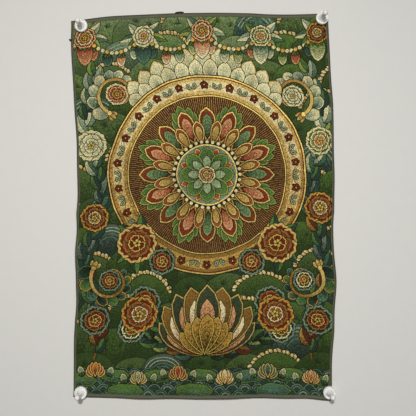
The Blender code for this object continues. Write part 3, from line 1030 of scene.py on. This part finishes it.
def put_cloth_maps(mesh, places, front_corners, back_corners):
    """The flat map in metres that the weave follows, and a map without overlaps for painting."""
    corner_vertex = np.empty(len(mesh.loops), int)
    mesh.loops.foreach_get("vertex_index", corner_vertex)
    corner_place = places[corner_vertex]
    put_map(mesh, "flat", corner_place * MM)
    share = corner_place / CLOTH_HEIGHT
    bake = FACE_START + share * FACE_SIZE
    rim_first = front_corners + back_corners
    bake[front_corners:rim_first] = BACK_START + share[front_corners:rim_first] * BACK_SIZE
    cell, corner = np.divmod(np.arange(len(corner_vertex) - rim_first), 4)
    row, column = np.divmod(cell, RIM_CELLS)
    bake[rim_first:, 0] = RIM_START[0] + column * (2 * RIM_CELL[0]) + (corner > 1) * RIM_CELL[0]
    bake[rim_first:, 1] = RIM_START[1] - row * (2 * RIM_CELL[1]) - np.isin(corner, (1, 2)) * RIM_CELL[1]
    put_map(mesh, "OFBake", bake)


def add_object(name, data):
    obj = bpy.data.objects.new(name, data)
    bpy.context.scene.collection.objects.link(obj)
    return obj


def add_mesh(name, points, faces, *materials):
    """A new piece of points, in metres, and faces."""
    mesh = bpy.data.meshes.new(name)
    mesh.from_pydata(points, [], faces)
    for material in materials:
        mesh.materials.append(material)
    return add_object(name, mesh)


def picture_cloth(face_material, back_material):
    """The picture cloth: a sheet with a face, a wrong side and the rim that joins them."""
    cloth = woven_design()
    places, facing, dyes, holes = triangulate(cloth)
    rim_edges = open_edges(facing)
    back, back_facing, behind = wrong_side(places, rim_edges, holes)
    first = len(places)
    rim = [(i, first + behind[i], first + behind[j], j) for i, j in rim_edges]
    half = CLOTH_THICKNESS / 2
    points = np.concatenate([hung_points(places, -half), hung_points(back, half)])
    faces = facing.tolist() + (back_facing + first).tolist() + rim
    obj = add_mesh("picture_cloth", points.tolist(), faces, face_material, back_material)
    mesh = obj.data
    sides = np.ones(len(faces), np.int32)
    sides[:len(facing)] = 0
    mesh.polygons.foreach_set("material_index", sides)
    wrong = back_colours(cloth, back, back_facing)
    for name, values in corner_colours(dyes, places, facing).items():
        put_attribute(mesh, name, values, wrong[name], len(rim))
    put_cloth_maps(mesh, np.concatenate([places, back]), facing.size, back_facing.size)
    mesh.shade_smooth()
    mesh.set_sharp_from_angle(angle=math.radians(50))
    mesh.update()
    print("picture cloth:", len(facing), "triangles on its face,", len(back_facing), "behind")
    return obj


class Nodes:
    """A material's or group's node tree, with short ways to add and join nodes."""

    def __init__(self, tree):
        self.tree = tree

    def add(self, kind, values=None, **settings):
        node = self.tree.nodes.new("ShaderNode" + kind)
        for name, value in settings.items():
            setattr(node, name, value)
        self.fill(node, values or {})
        return node

    def fill(self, node, values):
        """Joins a socket to each of a node's inputs, or sets the input's own value."""
        for key, value in values.items():
            if isinstance(value, bpy.types.NodeSocket):
                self.tree.links.new(value, node.inputs[key])
            else:
                node.inputs[key].default_value = value

    def math(self, operation, *values, clamp=False):
        node = self.add("Math", dict(enumerate(values)), operation=operation, use_clamp=clamp)
        return node.outputs[0]

    def above(self, value, limit, slope):
        """How far a value is above a limit, times a slope, kept between 0 and 1."""
        return self.math("MULTIPLY", self.math("SUBTRACT", value, limit), slope, clamp=True)

    def line(self, value, slope, start):
        """A value times a slope, added to a start."""
        return self.math("ADD", self.math("MULTIPLY", value, slope), start)

    def mix(self, factor, a, b):
        node = self.add("Mix", {0: factor, 6: a, 7: b}, data_type="RGBA")
        return node.outputs[2]

    def blend(self, factor, a, b):
        node = self.add("Mix", {0: factor, 2: a, 3: b}, data_type="FLOAT")
        return node.outputs[0]

    def scaled(self, colour, factor):
        """A colour made lighter or darker by a factor."""
        return self.add("VectorMath", {0: colour, "Scale": factor}, operation="SCALE").outputs[0]

    def noise(self, place, scale, detail, dimensions="2D", **values):
        """A noise's value, its scale in patches a metre, on the flat cloth unless it says 3D."""
        values.update(Vector=place, Scale=scale, Detail=detail)
        return self.add("TexNoise", values, noise_dimensions=dimensions).outputs[0]

    def group(self, group, **values):
        node = self.tree.nodes.new("ShaderNodeGroup")
        node.node_tree = group
        self.fill(node, values)
        return node.outputs

    def relief(self, shader, strength, distance, height):
        """A bump in the shader's surface, its distance in metres."""
        bump = self.add("Bump", {"Strength": strength, "Distance": distance, "Height": height})
        self.fill(shader, {"Normal": bump.outputs[0]})


def new_group(name, numbers, outputs):
    """A node group that reads a place and named numbers, here with their usual values."""
    group = bpy.data.node_groups.new(name, "ShaderNodeTree")
    group.interface.new_socket("Place", in_out="INPUT", socket_type="NodeSocketVector")
    for socket_name, usual in numbers.items():
        socket = group.interface.new_socket(socket_name, in_out="INPUT", socket_type="NodeSocketFloat")
        socket.default_value = usual
    for socket_name in outputs:
        group.interface.new_socket(socket_name, in_out="OUTPUT", socket_type="NodeSocketFloat")
    start = group.nodes.new("NodeGroupInput")
    end = group.nodes.new("NodeGroupOutput")
    return group, Nodes(group), start.outputs, end


def weave_group():
    """Woven floats in columns, each a short raised dash with a chance number of its own."""
    group, n, given, end = new_group("woven floats", {"Pitch": 0.0006, "Float": 0.0014},
                                     ("Chance", "Height"))
    split = n.add("SeparateXYZ", {0: given["Place"]})
    column_place = n.math("DIVIDE", split.outputs[0], given["Pitch"])
    column = n.math("FLOOR", column_place)
    stagger = n.math("MULTIPLY", column, 0.381)
    row_place = n.math("ADD", n.math("DIVIDE", split.outputs[1], given["Float"]), stagger)
    cell = n.add("CombineXYZ", {0: column, 1: n.math("FLOOR", row_place)})
    chance = n.add("TexWhiteNoise", {"Vector": cell.outputs[0]}, noise_dimensions="2D")
    across, along = (n.math("SINE", n.math("MULTIPLY", n.math("FRACT", place), math.pi))
                     for place in (column_place, row_place))
    height = n.math("MULTIPLY", across, n.math("POWER", along, 0.35))
    n.fill(end, {"Chance": chance.outputs["Value"], "Height": height})
    return group


def mottle_group():
    """Uneven dye: fine flecks, clouds and broad patches, as a brightness round 1."""
    group, n, given, end = new_group("uneven dye", {"Flecks": 0.2, "Clouds": 0.1, "Patches": 0.0},
                                     ("Brightness",))
    swings = []
    for name, scale, detail, roughness in (
            ("Flecks", 620.0, 2.0, 0.6), ("Clouds", 55.0, 3.0, 0.55), ("Patches", 14.0, 2.0, 0.5)):
        noise = n.noise(given["Place"], scale, detail, Roughness=roughness)
        swings.append(n.math("MULTIPLY", n.math("SUBTRACT", noise, 0.5), given[name]))
    uneven = n.math("ADD", swings[0], n.math("ADD", *swings[1:]))
    n.fill(end, {"Brightness": n.math("ADD", 1.0, n.math("MULTIPLY", uneven, 2.0))})
    return group


def worm_group():
    """Winding lines of gold thread, couched all over a ground."""
    group, n, given, end = new_group("winding gold", {}, ("Line",))
    bands = n.math("MULTIPLY", n.noise(given["Place"], 210.0, 1.0, Roughness=0.5, Distortion=0.6), 7.0)
    ridge = n.math("ABSOLUTE", n.math("SUBTRACT", n.math("FRACT", bands), 0.5))
    n.fill(end, {"Line": n.above(0.2, ridge, 9.0)})
    return group


def ray_group():
    """Fine gold lines that spread from the medallion's centre."""
    group, n, given, end = new_group("gold rays", {}, ("Line",))
    centre = (MEDALLION[0] * MM, MEDALLION[1] * MM, 0.0)
    from_centre = n.add("VectorMath", {0: given["Place"], 1: centre}, operation="SUBTRACT")
    split = n.add("SeparateXYZ", {0: from_centre.outputs[0]})
    angle = n.math("ARCTAN2", split.outputs[1], split.outputs[0])
    turns = n.math("MULTIPLY", angle, RAY_COUNT / math.tau)
    wave = n.math("ABSOLUTE", n.math("SUBTRACT", n.math("FRACT", turns), 0.5))
    broken = n.above(n.noise(given["Place"], 420.0, 1.0), 0.22, 4.0)
    n.fill(end, {"Line": n.math("MULTIPLY", n.above(wave, 0.325, 9.0), broken)})
    return group


def fresh_material(name):
    mat = bpy.data.materials.new(name)
    mat.use_nodes = True
    return mat, Nodes(mat.node_tree), mat.node_tree.nodes["Principled BSDF"]


def opaque(colour):
    """An eight-bit display colour for a colour socket."""
    return (*linear(colour), 1.0)


def brocade_material(groups):
    """The face of the cloth: yarns mixed float by float, gold thread, rays and an uneven dye."""
    mat, n, shader = fresh_material("woven_brocade_face")
    place = n.add("UVMap", uv_map="flat").outputs[0]
    near, far, weave = (n.add("Attribute", attribute_name=name).outputs
                        for name in ("yarn_near", "yarn_far", "weave"))
    share, worms, rays = n.add("SeparateColor", {0: weave["Color"]}).outputs
    floats = n.group(groups["weave"], Place=place, Pitch=0.0007, Float=0.0015)
    mottle = n.group(groups["mottle"], Place=place, Flecks=1.0, Clouds=0.26, Patches=0.2)
    # A float takes the far yarn where its chance number is under the share, softened by the grain
    lead = n.math("SUBTRACT", share, floats["Chance"])
    chosen = n.math("ADD", n.math("MULTIPLY", lead, 3.0), 0.5, clamp=True)
    picked = n.blend(weave["Alpha"], share, chosen)
    colour = n.mix(picked, near["Color"], far["Color"])
    shine = n.blend(picked, near["Alpha"], far["Alpha"])
    worm_line = n.math("MULTIPLY", n.group(groups["worms"], Place=place)["Line"], worms)
    colour = n.mix(worm_line, colour, opaque(OLD_GOLD))
    ray_line = n.math("MULTIPLY", n.group(groups["rays"], Place=place)["Line"], rays)
    colour = n.mix(ray_line, colour, opaque(RAY_GOLD))
    gold = n.math("MAXIMUM", worm_line, ray_line)
    shine = n.math("MAXIMUM", shine, gold)
    bright = n.math("MULTIPLY", n.line(floats["Chance"], 0.26, 0.87), mottle["Brightness"])
    pucker = n.noise(place, 150.0, 2.0)
    height = n.math("ADD", n.math("MULTIPLY", floats["Height"], 0.12), n.math("MULTIPLY", pucker, 0.5))
    height = n.math("ADD", height, n.math("MULTIPLY", gold, 0.12))
    n.fill(shader, {"Base Color": n.scaled(colour, bright), "Metallic": n.math("MULTIPLY", shine, 0.45),
                    "Roughness": n.blend(shine, 0.78, 0.45), "Specular IOR Level": 0.12})
    n.relief(shader, 0.6, 0.001, height)
    return mat


def back_material(groups):
    """The wrong side: the same yarns, dulled and blurred under loose floats that run across."""
    mat, n, shader = fresh_material("woven_brocade_back")
    place = n.add("UVMap", uv_map="flat").outputs[0]
    near, far = (n.add("Attribute", attribute_name=name).outputs["Color"]
                 for name in ("yarn_near", "yarn_far"))
    turned = n.add("Mapping", {"Vector": place, "Rotation": (0.0, 0.0, math.pi / 2)})
    floats = n.group(groups["weave"], Place=turned.outputs[0], Pitch=0.0006, Float=0.0045)
    mottle = n.group(groups["mottle"], Place=place, Flecks=0.3, Clouds=0.2)
    own = n.mix(floats["Chance"], near, far)
    base = n.mix(floats["Chance"], opaque((74, 80, 58)), opaque((120, 108, 78)))
    bright = n.math("MULTIPLY", n.line(floats["Chance"], 0.4, 0.75), mottle["Brightness"])
    n.fill(shader, {"Base Color": n.scaled(n.mix(0.62, own, base), bright), "Roughness": 0.85,
                    "Sheen Weight": 0.1})
    n.relief(shader, 0.6, 0.001, n.math("MULTIPLY", floats["Height"], 0.2))
    return mat


def edging_material(groups):
    """Grey-brown overcast thread over the cut edge, darker at the fold than beside the picture: partly the
    thread's tone, partly painted shade.
    """
    mat, n, shader = fresh_material("overcast_edging")
    place = n.add("UVMap", uv_map="flat").outputs[0]
    split = n.add("SeparateXYZ", {0: place})
    # Dark at the fold and lightest across the band's middle: the dark is partly painted shade, where the
    # rounded fold turns away from the light.
    ramp = n.add("ValToRGB", {"Fac": n.math("MULTIPLY", split.outputs[1], 100.0)})
    stops = ramp.color_ramp.elements
    stops[0].color, stops[1].color = opaque((48, 47, 37)), opaque((78, 79, 59))
    for position, colour in ((0.27, (62, 64, 49)), (0.50, (99, 101, 78))):
        stops.new(position).color = opaque(colour)
    streaks = n.add("Mapping", {"Vector": place, "Scale": (60.0, 2600.0, 1.0)})
    streak = n.noise(streaks.outputs[0], 1.0, 2.0)
    mottle = n.group(groups["mottle"], Place=place, Flecks=0.3, Clouds=0.2)
    bright = n.math("MULTIPLY", n.line(streak, 0.7, 0.65), mottle["Brightness"])
    n.fill(shader, {"Base Color": n.scaled(ramp.outputs[0], bright), "Roughness": 0.8, "Sheen Weight": 0.15})
    n.relief(shader, 0.5, 0.0006, streak)
    return mat


def thread_material(name, colour):
    """Twisted sewing thread."""
    mat, n, shader = fresh_material(name)
    twist = n.noise(n.add("TexCoord").outputs["Object"], 1800.0, 1.0, "3D")
    n.fill(shader, {"Base Color": n.scaled(linear(colour), n.line(twist, 0.7, 0.65)), "Roughness": 0.7})
    n.relief(shader, 0.4, 0.0003, twist)
    return mat


def plastic_material():
    """Moulded white plastic, a little warm, with faint handling marks in its gloss."""
    mat, n, shader = fresh_material("white_pin_plastic")
    marks = n.noise(n.add("TexCoord").outputs["Object"], 700.0, 3.0, "3D")
    tint = n.mix(marks, (0.88, 0.875, 0.845, 1.0), (0.94, 0.935, 0.905, 1.0))
    n.fill(shader, {"Base Color": tint, "Roughness": n.blend(marks, 0.2, 0.34)})
    return mat


def steel_material():
    """Drawn needle wire with fine lines along it."""
    mat, n, shader = fresh_material("needle_steel")
    place = n.add("TexCoord").outputs["Object"]
    drawn = n.add("Mapping", {"Vector": place, "Scale": (4000.0, 120.0, 4000.0)})
    lines = n.noise(drawn.outputs[0], 1.0, 2.0, "3D")
    n.fill(shader, {"Base Color": (0.62, 0.62, 0.61, 1.0), "Metallic": 1.0,
                    "Roughness": n.blend(lines, 0.18, 0.4)})
    return mat


# The edging: the width of its bands, how far they stand off the cloth's middle, and its stitches
BAND_ENDS = 4.7
BAND_SIDES = 2.7
BAND_LEVEL = 0.95
BAND_STEP = 2.0
BAND_GAP = 0.2
STITCH_PITCH = 1.4
STITCH_START = 0.4
STITCH_SIDES = 4
THREAD = 0.17


def edge_place(side, along, inward):
    """The cloth place a distance along one side and a distance in from its edge."""
    return {
        "top": (along, inward),
        "bottom": (along, CLOTH_HEIGHT - inward),
        "left": (inward, along),
        "right": (CLOTH_WIDTH - inward, along),
    }[side]


def band_section(width):
    """The edging seen end on: distance in from the edge, level behind the cloth, all the way round."""
    half = CLOTH_THICKNESS / 2 + 0.02
    outer = [(width, -0.62), (width * 0.9, -0.86), (width * 0.55, -BAND_LEVEL), (1.0, -BAND_LEVEL),
             (0.4, -0.78), (0.08, -0.42)]
    inner = [(width, half), (1.1, half), (0.75, 0.0), (1.1, -half), (width, -half)]
    return outer + [(0.0, 0.0)] + [(inward, -level) for inward, level in reversed(outer)] + inner


def band(side, width, start, stop, mat):
    """One side's edging as a folded band, a little uneven in its width."""
    section = band_section(width)
    even_up_to = 1.2
    rows = int((stop - start) / BAND_STEP)
    places, levels, maps = [], [], []
    for row in range(rows + 1):
        along = start + (stop - start) * row / rows
        uneven = 1.0 + 0.05 * math.sin(along * 0.21 + width) + 0.04 * math.sin(along * 0.53)
        for inward, level in section:
            reach = inward * uneven if inward > even_up_to else inward
            places.append(edge_place(side, along, reach))
            levels.append(level)
            maps.append((along * MM, reach * MM * 2))
    strip = add_mesh("edging_" + side, hung_points(places, levels).tolist(),
                     tube_faces(rows + 1, len(section), 0), mat)
    mesh = strip.data
    layer = mesh.uv_layers.new(name="flat")
    for loop in mesh.loops:
        layer.data[loop.index].uv = maps[loop.vertex_index]
    smooth_outward(mesh)
    mesh.set_sharp_from_angle(angle=math.radians(60))
    return strip


def smooth_outward(mesh):
    """Turns the faces of a closed piece outwards and shades them smooth."""
    work = bmesh.new()
    work.from_mesh(mesh)
    bmesh.ops.recalc_face_normals(work, faces=work.faces)
    work.to_mesh(mesh)
    work.free()
    mesh.shade_smooth()


def tube_faces(rings, sides, first):
    """Faces of a tube of rings of points, capped at both ends, its points numbered from first."""
    faces = [[first + r * sides + k, first + r * sides + (k + 1) % sides,
              first + (r + 1) * sides + (k + 1) % sides, first + (r + 1) * sides + k]
             for r in range(rings - 1) for k in range(sides)]
    faces.append([first + k for k in reversed(range(sides))])
    faces.append([first + (rings - 1) * sides + k for k in range(sides)])
    return faces


def tube_points(path, radius, sides):
    """Rings of points round a path of world points, drawn in at both ends."""
    rings = []
    last = len(path) - 1
    end_share = 0.55
    off_path = Vector((0.31, 0.17, 0.94))
    for k, here in enumerate(path):
        along = (path[min(last, k + 1)] - path[max(0, k - 1)]).normalized()
        first = along.cross(off_path).normalized()
        second = along.cross(first)
        thickness = radius * (end_share if k in (0, last) else 1.0)
        for i in range(sides):
            angle = math.tau * i / sides
            rings.append(here + (first * math.cos(angle) + second * math.sin(angle)) * thickness)
    return rings


def overcast(side, width, start, stop, mat):
    """The overcast stitches of one side: threads that slant over the band from face to back."""
    count = int((stop - start) / STITCH_PITCH)
    # Columns: distance in from the edge, level behind the cloth, share of the slant
    course = [(width + 0.5, -0.45, 0.0), (width - 0.1, -0.98, 0.05), (width * 0.5, -1.08, 0.25),
              (0.5, -0.95, 0.45), (-0.12, 0.0, 0.5), (0.5, 0.95, 0.55), (width * 0.5, 1.08, 0.75),
              (width + 0.4, 0.5, 1.0)]
    steps = len(course)
    places, levels = [], []
    for stitch in range(count):
        along = start + (stop - start) * (stitch + 0.1) / count
        wander = 0.22 * math.sin(stitch * 2.4) + 0.15 * math.sin(stitch * 0.37)
        for inward, level, slant in course:
            reach = inward + (wander if inward > 1.0 else 0.0)
            places.append(edge_place(side, along + slant * STITCH_PITCH * 0.9, reach))
            levels.append(level)
    points = [Vector(p) for p in hung_points(places, levels)]
    vertices, faces = [], []
    for first in range(0, len(points), steps):
        faces.extend(tube_faces(steps, STITCH_SIDES, len(vertices)))
        vertices.extend(tube_points(points[first:first + steps], THREAD * MM, STITCH_SIDES))
    stitches = add_mesh("overcast_" + side, vertices, faces, mat)
    smooth_outward(stitches.data)
    return stitches


# Loose threads: radius, then their points as cloth places: across, down, height over the face
SNAGS = {
    "snag_stem": (0.72, [(124.3, 4.9, 0.8), (124.8, 7.0, 1.1), (125.5, 9.2, 1.1), (126.2, 11.3, 0.8)]),
    "snag_bar": (0.72, [(120.4, 12.3, 0.5), (122.6, 11.9, 0.9), (125.2, 11.7, 1.0), (127.0, 11.7, 0.9),
                        (128.7, 11.6, 0.5)]),
}
THREAD_ENDS = {
    "knot_tail": (0.95, [(121.4, 0.5, 0.9), (123.2, -0.2, 0.9), (125.6, -0.5, 0.8), (128.6, -0.6, 0.8),
                         (131.8, -0.5, 0.8)]),
    "cut_end": (0.85, [(2.2, 23.2, 1.2), (0.6, 22.9, 1.2), (-0.9, 22.4, 0.9), (-2.2, 21.9, 0.7)]),
}


def select_none():
    for obj in bpy.context.selected_objects:
        obj.select_set(False)


def add_circle(sides, radius, **place):
    """A filled circle, the only thing selected. Its measures are in millimetres, its place in metres."""
    select_none()
    bpy.ops.mesh.primitive_circle_add(vertices=sides, radius=radius * MM, fill_type="NGON", **place)
    bpy.ops.object.transform_apply(location=True, rotation=True)
    bpy.ops.object.mode_set(mode="EDIT")
    return bpy.context.object


def extrude(step, scale, centre):
    """Draws the selected face out by a step and widens or narrows it round its new centre."""
    bpy.ops.mesh.extrude_region_move(TRANSFORM_OT_translate={"value": step})
    bpy.ops.transform.resize(value=scale, center_override=centre)


def face_outwards():
    """Turns the faces outwards, with all of them left selected."""
    bpy.ops.mesh.select_all(action="SELECT")
    bpy.ops.mesh.normals_make_consistent(inside=False)


def loose_thread(name, radius, rows, mat):
    """A thread drawn out from a circle, point by point, and thinned at both ends."""
    path = [Vector(p) for p in hung_points([row[:2] for row in rows], [-row[2] for row in rows])]
    heading = (path[1] - path[0]).to_track_quat("Z", "Y").to_euler()
    thread = add_circle(8, radius * 0.5, location=path[0], rotation=heading)
    thread.name = thread.data.name = name
    scales = [2.0] + [1.0] * (len(path) - 3) + [0.5]
    for here, after, scale in zip(path, path[1:], scales):
        extrude(after - here, (scale, scale, scale), after)
    face_outwards()
    bpy.ops.mesh.subdivide(number_cuts=1, smoothness=0.6)
    bpy.ops.object.mode_set(mode="OBJECT")
    bpy.ops.object.shade_smooth()
    thread.data.materials.append(mat)
    return thread


PIN_SIDES = 48
# The pin head from the foot's back to the top of the ball
# Columns: radius, distance in front of the wall, in millimetres
HEAD_PROFILE = [(7.2, 2.9), (7.42, 3.0), (7.5, 3.25), (7.48, 3.9), (7.44, 4.6), (7.36, 5.1), (7.18, 5.48),
                (6.9, 5.7), (6.5, 5.7), (6.2, 5.45), (6.05, 5.0), (5.95, 4.5), (5.78, 4.1), (5.5, 3.95),
                (5.2, 4.15), (4.8, 4.8), (4.25, 5.8), (3.8, 6.5), (3.35, 7.25), (2.95, 8.0), (2.6, 8.8),
                (2.3, 9.65), (2.08, 10.6), (1.97, 11.6), (1.95, 12.7), (1.95, 13.6), (2.0, 14.3),
                (2.3, 14.85), (2.7, 15.5), (2.95, 16.2), (3.0, 16.9), (2.9, 17.6), (2.6, 18.3),
                (2.1, 18.95), (1.4, 19.45), (0.7, 19.75)]
HEAD_TOP = 19.8


def pin_head_model():
    """One pin head, extruded ring by ring from its foot to its ball, its axis along +Z."""
    radius, height = HEAD_PROFILE[0]
    model = add_circle(PIN_SIDES, radius, location=(0.0, 0.0, height * MM))
    for next_radius, next_height in HEAD_PROFILE[1:]:
        scale = next_radius / radius
        extrude((0.0, 0.0, (next_height - height) * MM), (scale, scale, 1.0), (0.0, 0.0, next_height * MM))
        radius, height = next_radius, next_height
    bpy.ops.mesh.extrude_region_move(TRANSFORM_OT_translate={"value": (0.0, 0.0, (HEAD_TOP - height) * MM)})
    bpy.ops.mesh.merge(type="CENTER")
    face_outwards()
    bpy.ops.object.mode_set(mode="OBJECT")
    bpy.ops.object.shade_smooth_by_angle(angle=math.radians(55))
    return model


def pin_heads(mat):
    """The four pin heads, each its own mesh, turned to face the room at its pin's place."""
    model = pin_head_model()
    heads = []
    for number, (x, z) in enumerate(PINS, start=1):
        mesh = model.data.copy()
        mesh.name = f"ball_pin_{number}"
        mesh.transform(Matrix.Translation((x * MM, 0.0, z * MM)) @ Matrix.Rotation(math.pi / 2, 4, "X"))
        mesh.materials.clear()
        mesh.materials.append(mat)
        heads.append(add_object(mesh.name, mesh))
    bpy.data.objects.remove(model)
    return heads


VIEWPOINT = (0.0073, -0.487, -0.2155)
LENS = 36.1
SENSOR = 36.0
FLOOR_DROP = 1.1
WALL_GAP = 0.0004
# Lights: name, place, what it looks at, size, power, colour
MIDDLE = (0.0, 0.0, -0.21)
LIGHTS = [
    ("lamp", (-0.05, -0.9, 0.17), (-0.05, -0.4, -0.696), 0.08, 8.1, (1.0, 0.985, 0.95)),
    ("window", (0.6, -1.9, -0.15), MIDDLE, 0.5, 7.4, (0.96, 0.98, 1.0)),
    ("behind", (0.3, 1.6, 0.5), MIDDLE, 1.2, 26.0, (1.0, 1.0, 1.0)),
]


def camera():
    """A camera that faces the wall squarely."""
    data = bpy.data.cameras.new("camera")
    data.lens = LENS
    data.sensor_width = SENSOR
    data.clip_start = 0.01
    cam = add_object("camera", data)
    cam.location = VIEWPOINT
    cam.rotation_euler = (math.pi / 2, 0.0, 0.0)
    bpy.context.scene.camera = cam


def wall_material():
    """Pale wall paint on the side that faces the cloth. Its other side isn't there to the camera."""
    mat, n, shader = fresh_material("wall_paint")
    grain = n.noise(n.add("TexCoord").outputs["Object"], 90.0, 4.0, "3D")
    tint = n.mix(grain, (0.755, 0.745, 0.71, 1.0), (0.785, 0.775, 0.74, 1.0))
    n.fill(shader, {"Base Color": tint, "Roughness": 0.8})
    clear = n.add("BsdfTransparent")
    behind = n.add("NewGeometry").outputs["Backfacing"]
    choice = n.add("MixShader", {0: behind, 1: shader.outputs[0], 2: clear.outputs[0]})
    n.fill(mat.node_tree.nodes["Material Output"], {"Surface": choice.outputs[0]})
    return mat


def floor_material():
    mat, n, shader = fresh_material("pale_floor")
    n.fill(shader, {"Base Color": (0.36, 0.35, 0.335, 1.0), "Roughness": 0.7})
    return mat


def add_plane(name, size, mat, **place):
    select_none()
    bpy.ops.mesh.primitive_plane_add(size=size, **place)
    plane = bpy.context.object
    plane.name = name
    plane.data.materials.append(mat)
    return plane


def stage():
    """The wall behind the cloth, which neither shades nor lights it, and the floor far below."""
    wall = add_plane("backdrop", 4.0, wall_material(), location=(0.0, WALL_GAP, -0.2),
                     rotation=(math.pi / 2, 0, 0))
    wall.visible_diffuse = False
    wall.visible_glossy = False
    wall.visible_shadow = False
    floor = add_plane("floor", 8.0, floor_material(), location=(0.0, 0.0, cad_box[0].z - FLOOR_DROP))


def lights():
    """A near lamp, soft light from the room's window side, some light from behind, and a dim surround."""
    world = bpy.data.worlds.new("room")
    world.use_nodes = True
    background = world.node_tree.nodes["Background"]
    background.inputs["Color"].default_value = (1.0, 0.99, 0.97, 1.0)
    background.inputs["Strength"].default_value = 0.1
    bpy.context.scene.world = world
    bpy.context.scene.view_settings.view_transform = "Standard"
    for name, location, target, size, power, colour in LIGHTS:
        data = bpy.data.lights.new(name, "AREA")
        data.shape = "DISK"
        data.size = size
        data.energy = power
        data.color = colour
        light = add_object(name, data)
        light.location = location
        light.rotation_mode = "QUATERNION"
        light.rotation_quaternion = (Vector(target) - light.location).to_track_quat("-Z", "Y")


def dress(piece, node=None):
    """Lets a piece ride on the body and stand for its CAD node if it has one."""
    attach(piece, "root")
    if node:
        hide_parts(node)
    return piece


def build():
    """Every piece of the object, the cloth first."""
    groups = {"weave": weave_group(), "mottle": mottle_group(), "worms": worm_group(), "rays": ray_group()}
    edging = edging_material(groups)
    thread = thread_material("overcast_thread", (98, 92, 74))
    cloth = picture_cloth(brocade_material(groups), back_material(groups))
    heads = pin_heads(plastic_material())
    steel = steel_material()
    for number, head in enumerate(heads, start=1):
        dress(head, f"pin_head_{number}")
        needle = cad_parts[f"pin_needle_{number}"]
        needle.data.materials.clear()
        needle.data.materials.append(steel)
    dress(cloth, "cloth_panel")
    trims = []
    side_start = BAND_ENDS + BAND_GAP
    for side, width, start, stop in (
            ("top", BAND_ENDS, 0.0, CLOTH_WIDTH), ("bottom", BAND_ENDS, 0.0, CLOTH_WIDTH),
            ("left", BAND_SIDES, side_start, CLOTH_HEIGHT - side_start),
            ("right", BAND_SIDES, side_start, CLOTH_HEIGHT - side_start)):
        strip = band(side, width, start, stop, edging)
        stitches = overcast(side, width, start + STITCH_START, stop - STITCH_START, thread)
        trims += [dress(strip, "binding_" + side), dress(stitches)]
    for threads, mat in ((SNAGS, thread_material("snagged_thread", (40, 62, 28))),
                         (THREAD_ENDS, thread_material("dark_sewing_thread", (26, 22, 15)))):
        for name, (radius, rows) in threads.items():
            trims.append(dress(loose_thread(name, radius, rows, mat)))


camera()
build()
stage()
lights()
